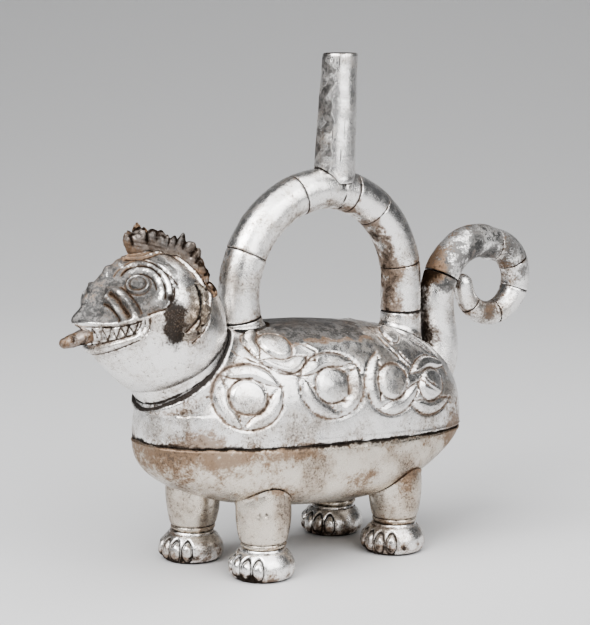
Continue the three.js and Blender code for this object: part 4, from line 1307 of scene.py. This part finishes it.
def build_leg(name, place):
    """A leg's tube, whose top is cut to the belly."""
    columns, rows, inner_rows = 84, 90, 10
    turn = full_turn(columns)
    spot = np.array([*place, 0])
    foot = LEG["ankle"] + SEAM

    def clear_of_belly(height):
        return outside_body(turned(np.polyval(LEG_FIT, height), turn, height) + spot, -1) > 0

    top = last_outside(np.full(columns, foot), np.full(columns, 60.0), clear_of_belly) - 2 * SEAM
    z = foot + (top - foot)[None, :] * np.linspace(0, 1, rows)[:, None]
    to_top = top[None, :] - z
    radius = np.polyval(LEG_FIT, z)
    swell = 0.5 * smooth(2.2 - to_top, 0, 2.2) ** 2 + 0.35 * bell(z - foot - 0.9, 0.7)
    swell -= 0.35 * bell(z - foot - 2.2, 0.5)
    plain = turned(radius, turn, z) + spot
    swell = swell + uneven(plain, (0.2, 13, 81), (0.08, 5, 82))
    pitted = np.zeros(z.shape)
    for heading, level, wide, tall, deep in DENTS.get(name, ()):
        off = turn_from(turn, heading * DEG)
        dent = bell(np.hypot(off[None, :] * radius / wide, (z - level) / tall), 1)
        swell -= deep * dent
        pitted = np.maximum(pitted, dent * (wide < 1))
    outer = turned(radius + swell, turn, z)
    inside_z = foot + (top - foot)[None, :] * np.linspace(1, 0, inner_rows)[:, None]
    inner = turned(np.polyval(LEG_FIT, inside_z) - WALL["leg"], turn, inside_z)
    points = np.concatenate([outer, inner]).reshape(-1, 3) + spot
    ragged = uneven(plain, (1, 5, 83))
    tarnish = 0.6 * bell(z - foot - 2.2, 0.4) + 0.35 * bell(to_top, 0.4) + 0.6 * pitted
    stain = 0.14 + 0.55 * bell(to_top, 3) * (1 + 0.5 * ragged)
    stain = stain + 0.35 * bell(z - foot - 1, 3) + 0.12 * ragged
    if name == "rear_left":
        stain = stain + 0.5 * bell(np.hypot((turn[None, :] - 4.4) * 8, to_top - 5), 5)
    marks = {**lined({"tarnish": tarnish, "stain": stain}, inside_z.size, 0.4), "patina": 0.12}
    make_piece(f"leg_tube_{name}", points, grid_faces(rows + inner_rows, columns, True, True), marks,
               [f"leg_{name}"], "dull_silver")


TOES = [a * DEG for a in (-48, -24, 0, 24, 48)]

# Outline of a paw from its sole to its ankle, and of its inside back down: radius and height.
PAW_OUTLINE = (
    (0.3, 0), (6, 0), (10.6, 0.0), (11.6, 0.15), (13.0, 1.2), (13.9, 3.2), (14.0, 5.0), (13.6, 7.4),
    (12.4, 9.6), (11.0, 11.3), (9.9, 12.6), (9.6, LEG["ankle"]),
)
PAW_INSIDE = ((8.7, LEG["ankle"]), (8.7, 11.5), (10.9, 5.5), (10.4, 1.8), (6, 1.2), (0.3, 1.2))


def build_paw(name, place):
    columns = 180
    turn = full_turn(columns)
    spot = np.array([*place, 0])
    profile = curve_through([(radius, 0, height) for radius, height in PAW_OUTLINE], 96)
    radius, z = profile[:, 0], np.clip(profile[:, 2], 0, LEG["ankle"])
    ahead = np.arctan2(np.sin(turn), -np.cos(turn))
    outside = radius / PAW["radius"]
    reach = np.broadcast_to(radius[:, None], (len(radius), columns)).copy()
    # Raised toes in front, each inside a chased loop.
    groove = np.zeros(reach.shape)
    for toe in TOES:
        off = turn_from(ahead, toe)
        loop = np.hypot(off[None, :] * PAW["radius"] / 2.35, (z[:, None] - 5.4) / 4.3)
        reach += 0.55 * smooth(1 - loop, 0, 0.45)
        groove = np.maximum(groove, bell((loop - 1.08) * 2.6, 0.5))
    ring = bell(z - LEG["ankle"] + 1.0, 0.45)[:, None]
    reach = reach - 0.8 * groove * smooth(z, 0.2, 1.2)[:, None]
    reach = reach - 0.35 * ring
    height = np.broadcast_to(z[:, None], reach.shape)
    skin = turned(reach, turn, height, -PAW["forward"] * outside[:, None])
    lumps = uneven(skin + spot, (0.12, 6, 91)) * smooth(z, 0.5, 2)[:, None]
    skin[..., 0] += lumps * np.cos(turn)
    skin[..., 1] += lumps * np.sin(turn)
    inner = np.stack([turned(r, turn, np.full(columns, h), -0.4) for r, h in PAW_INSIDE])
    points = np.concatenate([skin, inner]).reshape(-1, 3) + spot
    ragged = uneven(skin + spot, (1, 4, 92), (0.6, 2, 93))
    sole = bell(z - 0.2, 0.9)[:, None]
    low = smooth(8 - z, 0, 6)[:, None]
    toward_toes = smooth(np.cos(ahead), 0.1, 0.9)[None, :]
    tarnish = np.maximum(0.72 * groove, 0.85 * sole * (outside > 0.8)[:, None])
    tarnish = np.maximum(tarnish, 0.5 * ring)
    tarnish = np.maximum(tarnish, 0.56 * low * (0.5 + 0.6 * toward_toes) * (0.7 + 0.8 * ragged))
    stain = 0.3 + 0.35 * low + 0.3 * toward_toes * low + 0.3 * ring + 0.15 * ragged
    marks = lined({"tarnish": tarnish, "stain": stain}, len(PAW_INSIDE) * columns, 0.4)
    make_piece(f"paw_form_{name}", points, capped_faces(len(skin) + len(inner), columns),
               {**marks, "patina": 0.1}, [f"paw_{name}"], "bright_silver")


build_upper_shell()
build_lower_shell()
build_head()
build_crest()
build_ears()
build_tongue()
build_arch()
build_spout()
build_tail()
for leg_name, leg_place in LEGS.items():
    build_leg(leg_name, leg_place)
    build_paw(leg_name, leg_place)

# ---------------------------------------------------------------- gallery, light, camera


def plain_material(name, colour, rough):
    material = bpy.data.materials.new(name)
    material.use_nodes = True
    shader = material.node_tree.nodes["Principled BSDF"]
    shader.inputs["Base Color"].default_value = (*colour, 1)
    shader.inputs["Roughness"].default_value = rough
    return material


# The backdrop in metres: its near and far edge, the radius of its bend, its top and half width.
BACKDROP = {"near": -3.0, "far": 0.7, "bend": 2.6, "top": 6.0, "half": 5.0}


def build_backdrop():
    """Pale floor that curves up into a grey wall far behind."""
    far, bend = BACKDROP["far"], BACKDROP["bend"]
    curve = np.linspace(0, math.pi / 2, 40)
    run = [(BACKDROP["near"], 0.0), (far, 0.0)]
    run += [(far + bend * math.sin(a), bend - bend * math.cos(a)) for a in curve]
    run += [(far + bend, BACKDROP["top"])]
    points = [(x, y, z) for y, z in run for x in (-BACKDROP["half"], BACKDROP["half"])]
    faces = [(2 * i, 2 * i + 1, 2 * i + 3, 2 * i + 2) for i in range(len(run) - 1)]
    mesh = bpy.data.meshes.new("gallery_floor")
    mesh.from_pydata(points, [], faces)
    mesh.polygons.foreach_set("use_smooth", [True] * len(faces))
    floor = bpy.data.objects.new("gallery_floor", mesh)
    floor.rotation_euler = (0, 0, VIEW["azimuth"])
    floor.data.materials.append(plain_material("pale_floor", (0.62, 0.62, 0.625), 0.6))
    bpy.context.scene.collection.objects.link(floor)


VIEW = {"azimuth": -36 * DEG, "elevation": 9.36 * DEG, "distance": 0.9158, "lens": 121.82,
        "target": (0.0, 0.0, 106.75), "shift": (-0.0068, 0.002928)}


def view_direction(azimuth, elevation):
    return Vector((math.sin(azimuth) * math.cos(elevation), -math.cos(azimuth) * math.cos(elevation),
                   math.sin(elevation)))


def build_camera():
    data = bpy.data.cameras.new("camera")
    data.lens = VIEW["lens"]
    data.sensor_width = 36
    data.shift_x, data.shift_y = VIEW["shift"]
    camera = bpy.data.objects.new("camera", data)
    bpy.context.scene.collection.objects.link(camera)
    target = Vector(row([VIEW["target"]])[0])
    towards = view_direction(VIEW["azimuth"], VIEW["elevation"])
    camera.location = target + VIEW["distance"] * towards
    camera.rotation_euler = towards.to_track_quat("Z", "Y").to_euler()
    bpy.context.scene.camera = camera


def area_light(name, azimuth, elevation, distance, size, power, tall=None):
    """Soft lamp aimed at the vessel, placed by its bearing from the middle of it."""
    data = bpy.data.lights.new(name, "AREA")
    data.shape = "RECTANGLE"
    data.size = size
    data.size_y = tall or size
    data.energy = power
    lamp = bpy.data.objects.new(name, data)
    bpy.context.scene.collection.objects.link(lamp)
    towards = view_direction(VIEW["azimuth"] + azimuth * DEG, elevation * DEG)
    lamp.location = Vector((0, 0, 0.1)) + distance * towards
    lamp.rotation_euler = towards.to_track_quat("Z", "Y").to_euler()


def build_world():
    world = bpy.data.worlds.new("gallery")
    world.use_nodes = True
    background = world.node_tree.nodes["Background"]
    background.inputs["Color"].default_value = (0.62, 0.63, 0.64, 1)
    background.inputs["Strength"].default_value = 0.14
    bpy.context.scene.world = world


bpy.context.scene.view_settings.look = "AgX - Medium High Contrast"
build_backdrop()
build_camera()
build_world()
area_light("key", -42, 40, 1.5, 1.2, 27, tall=0.9)
area_light("fill", 40, 26, 1.7, 1.9, 25, tall=1.2)
area_light("top", 20, 72, 1.5, 2.0, 32)
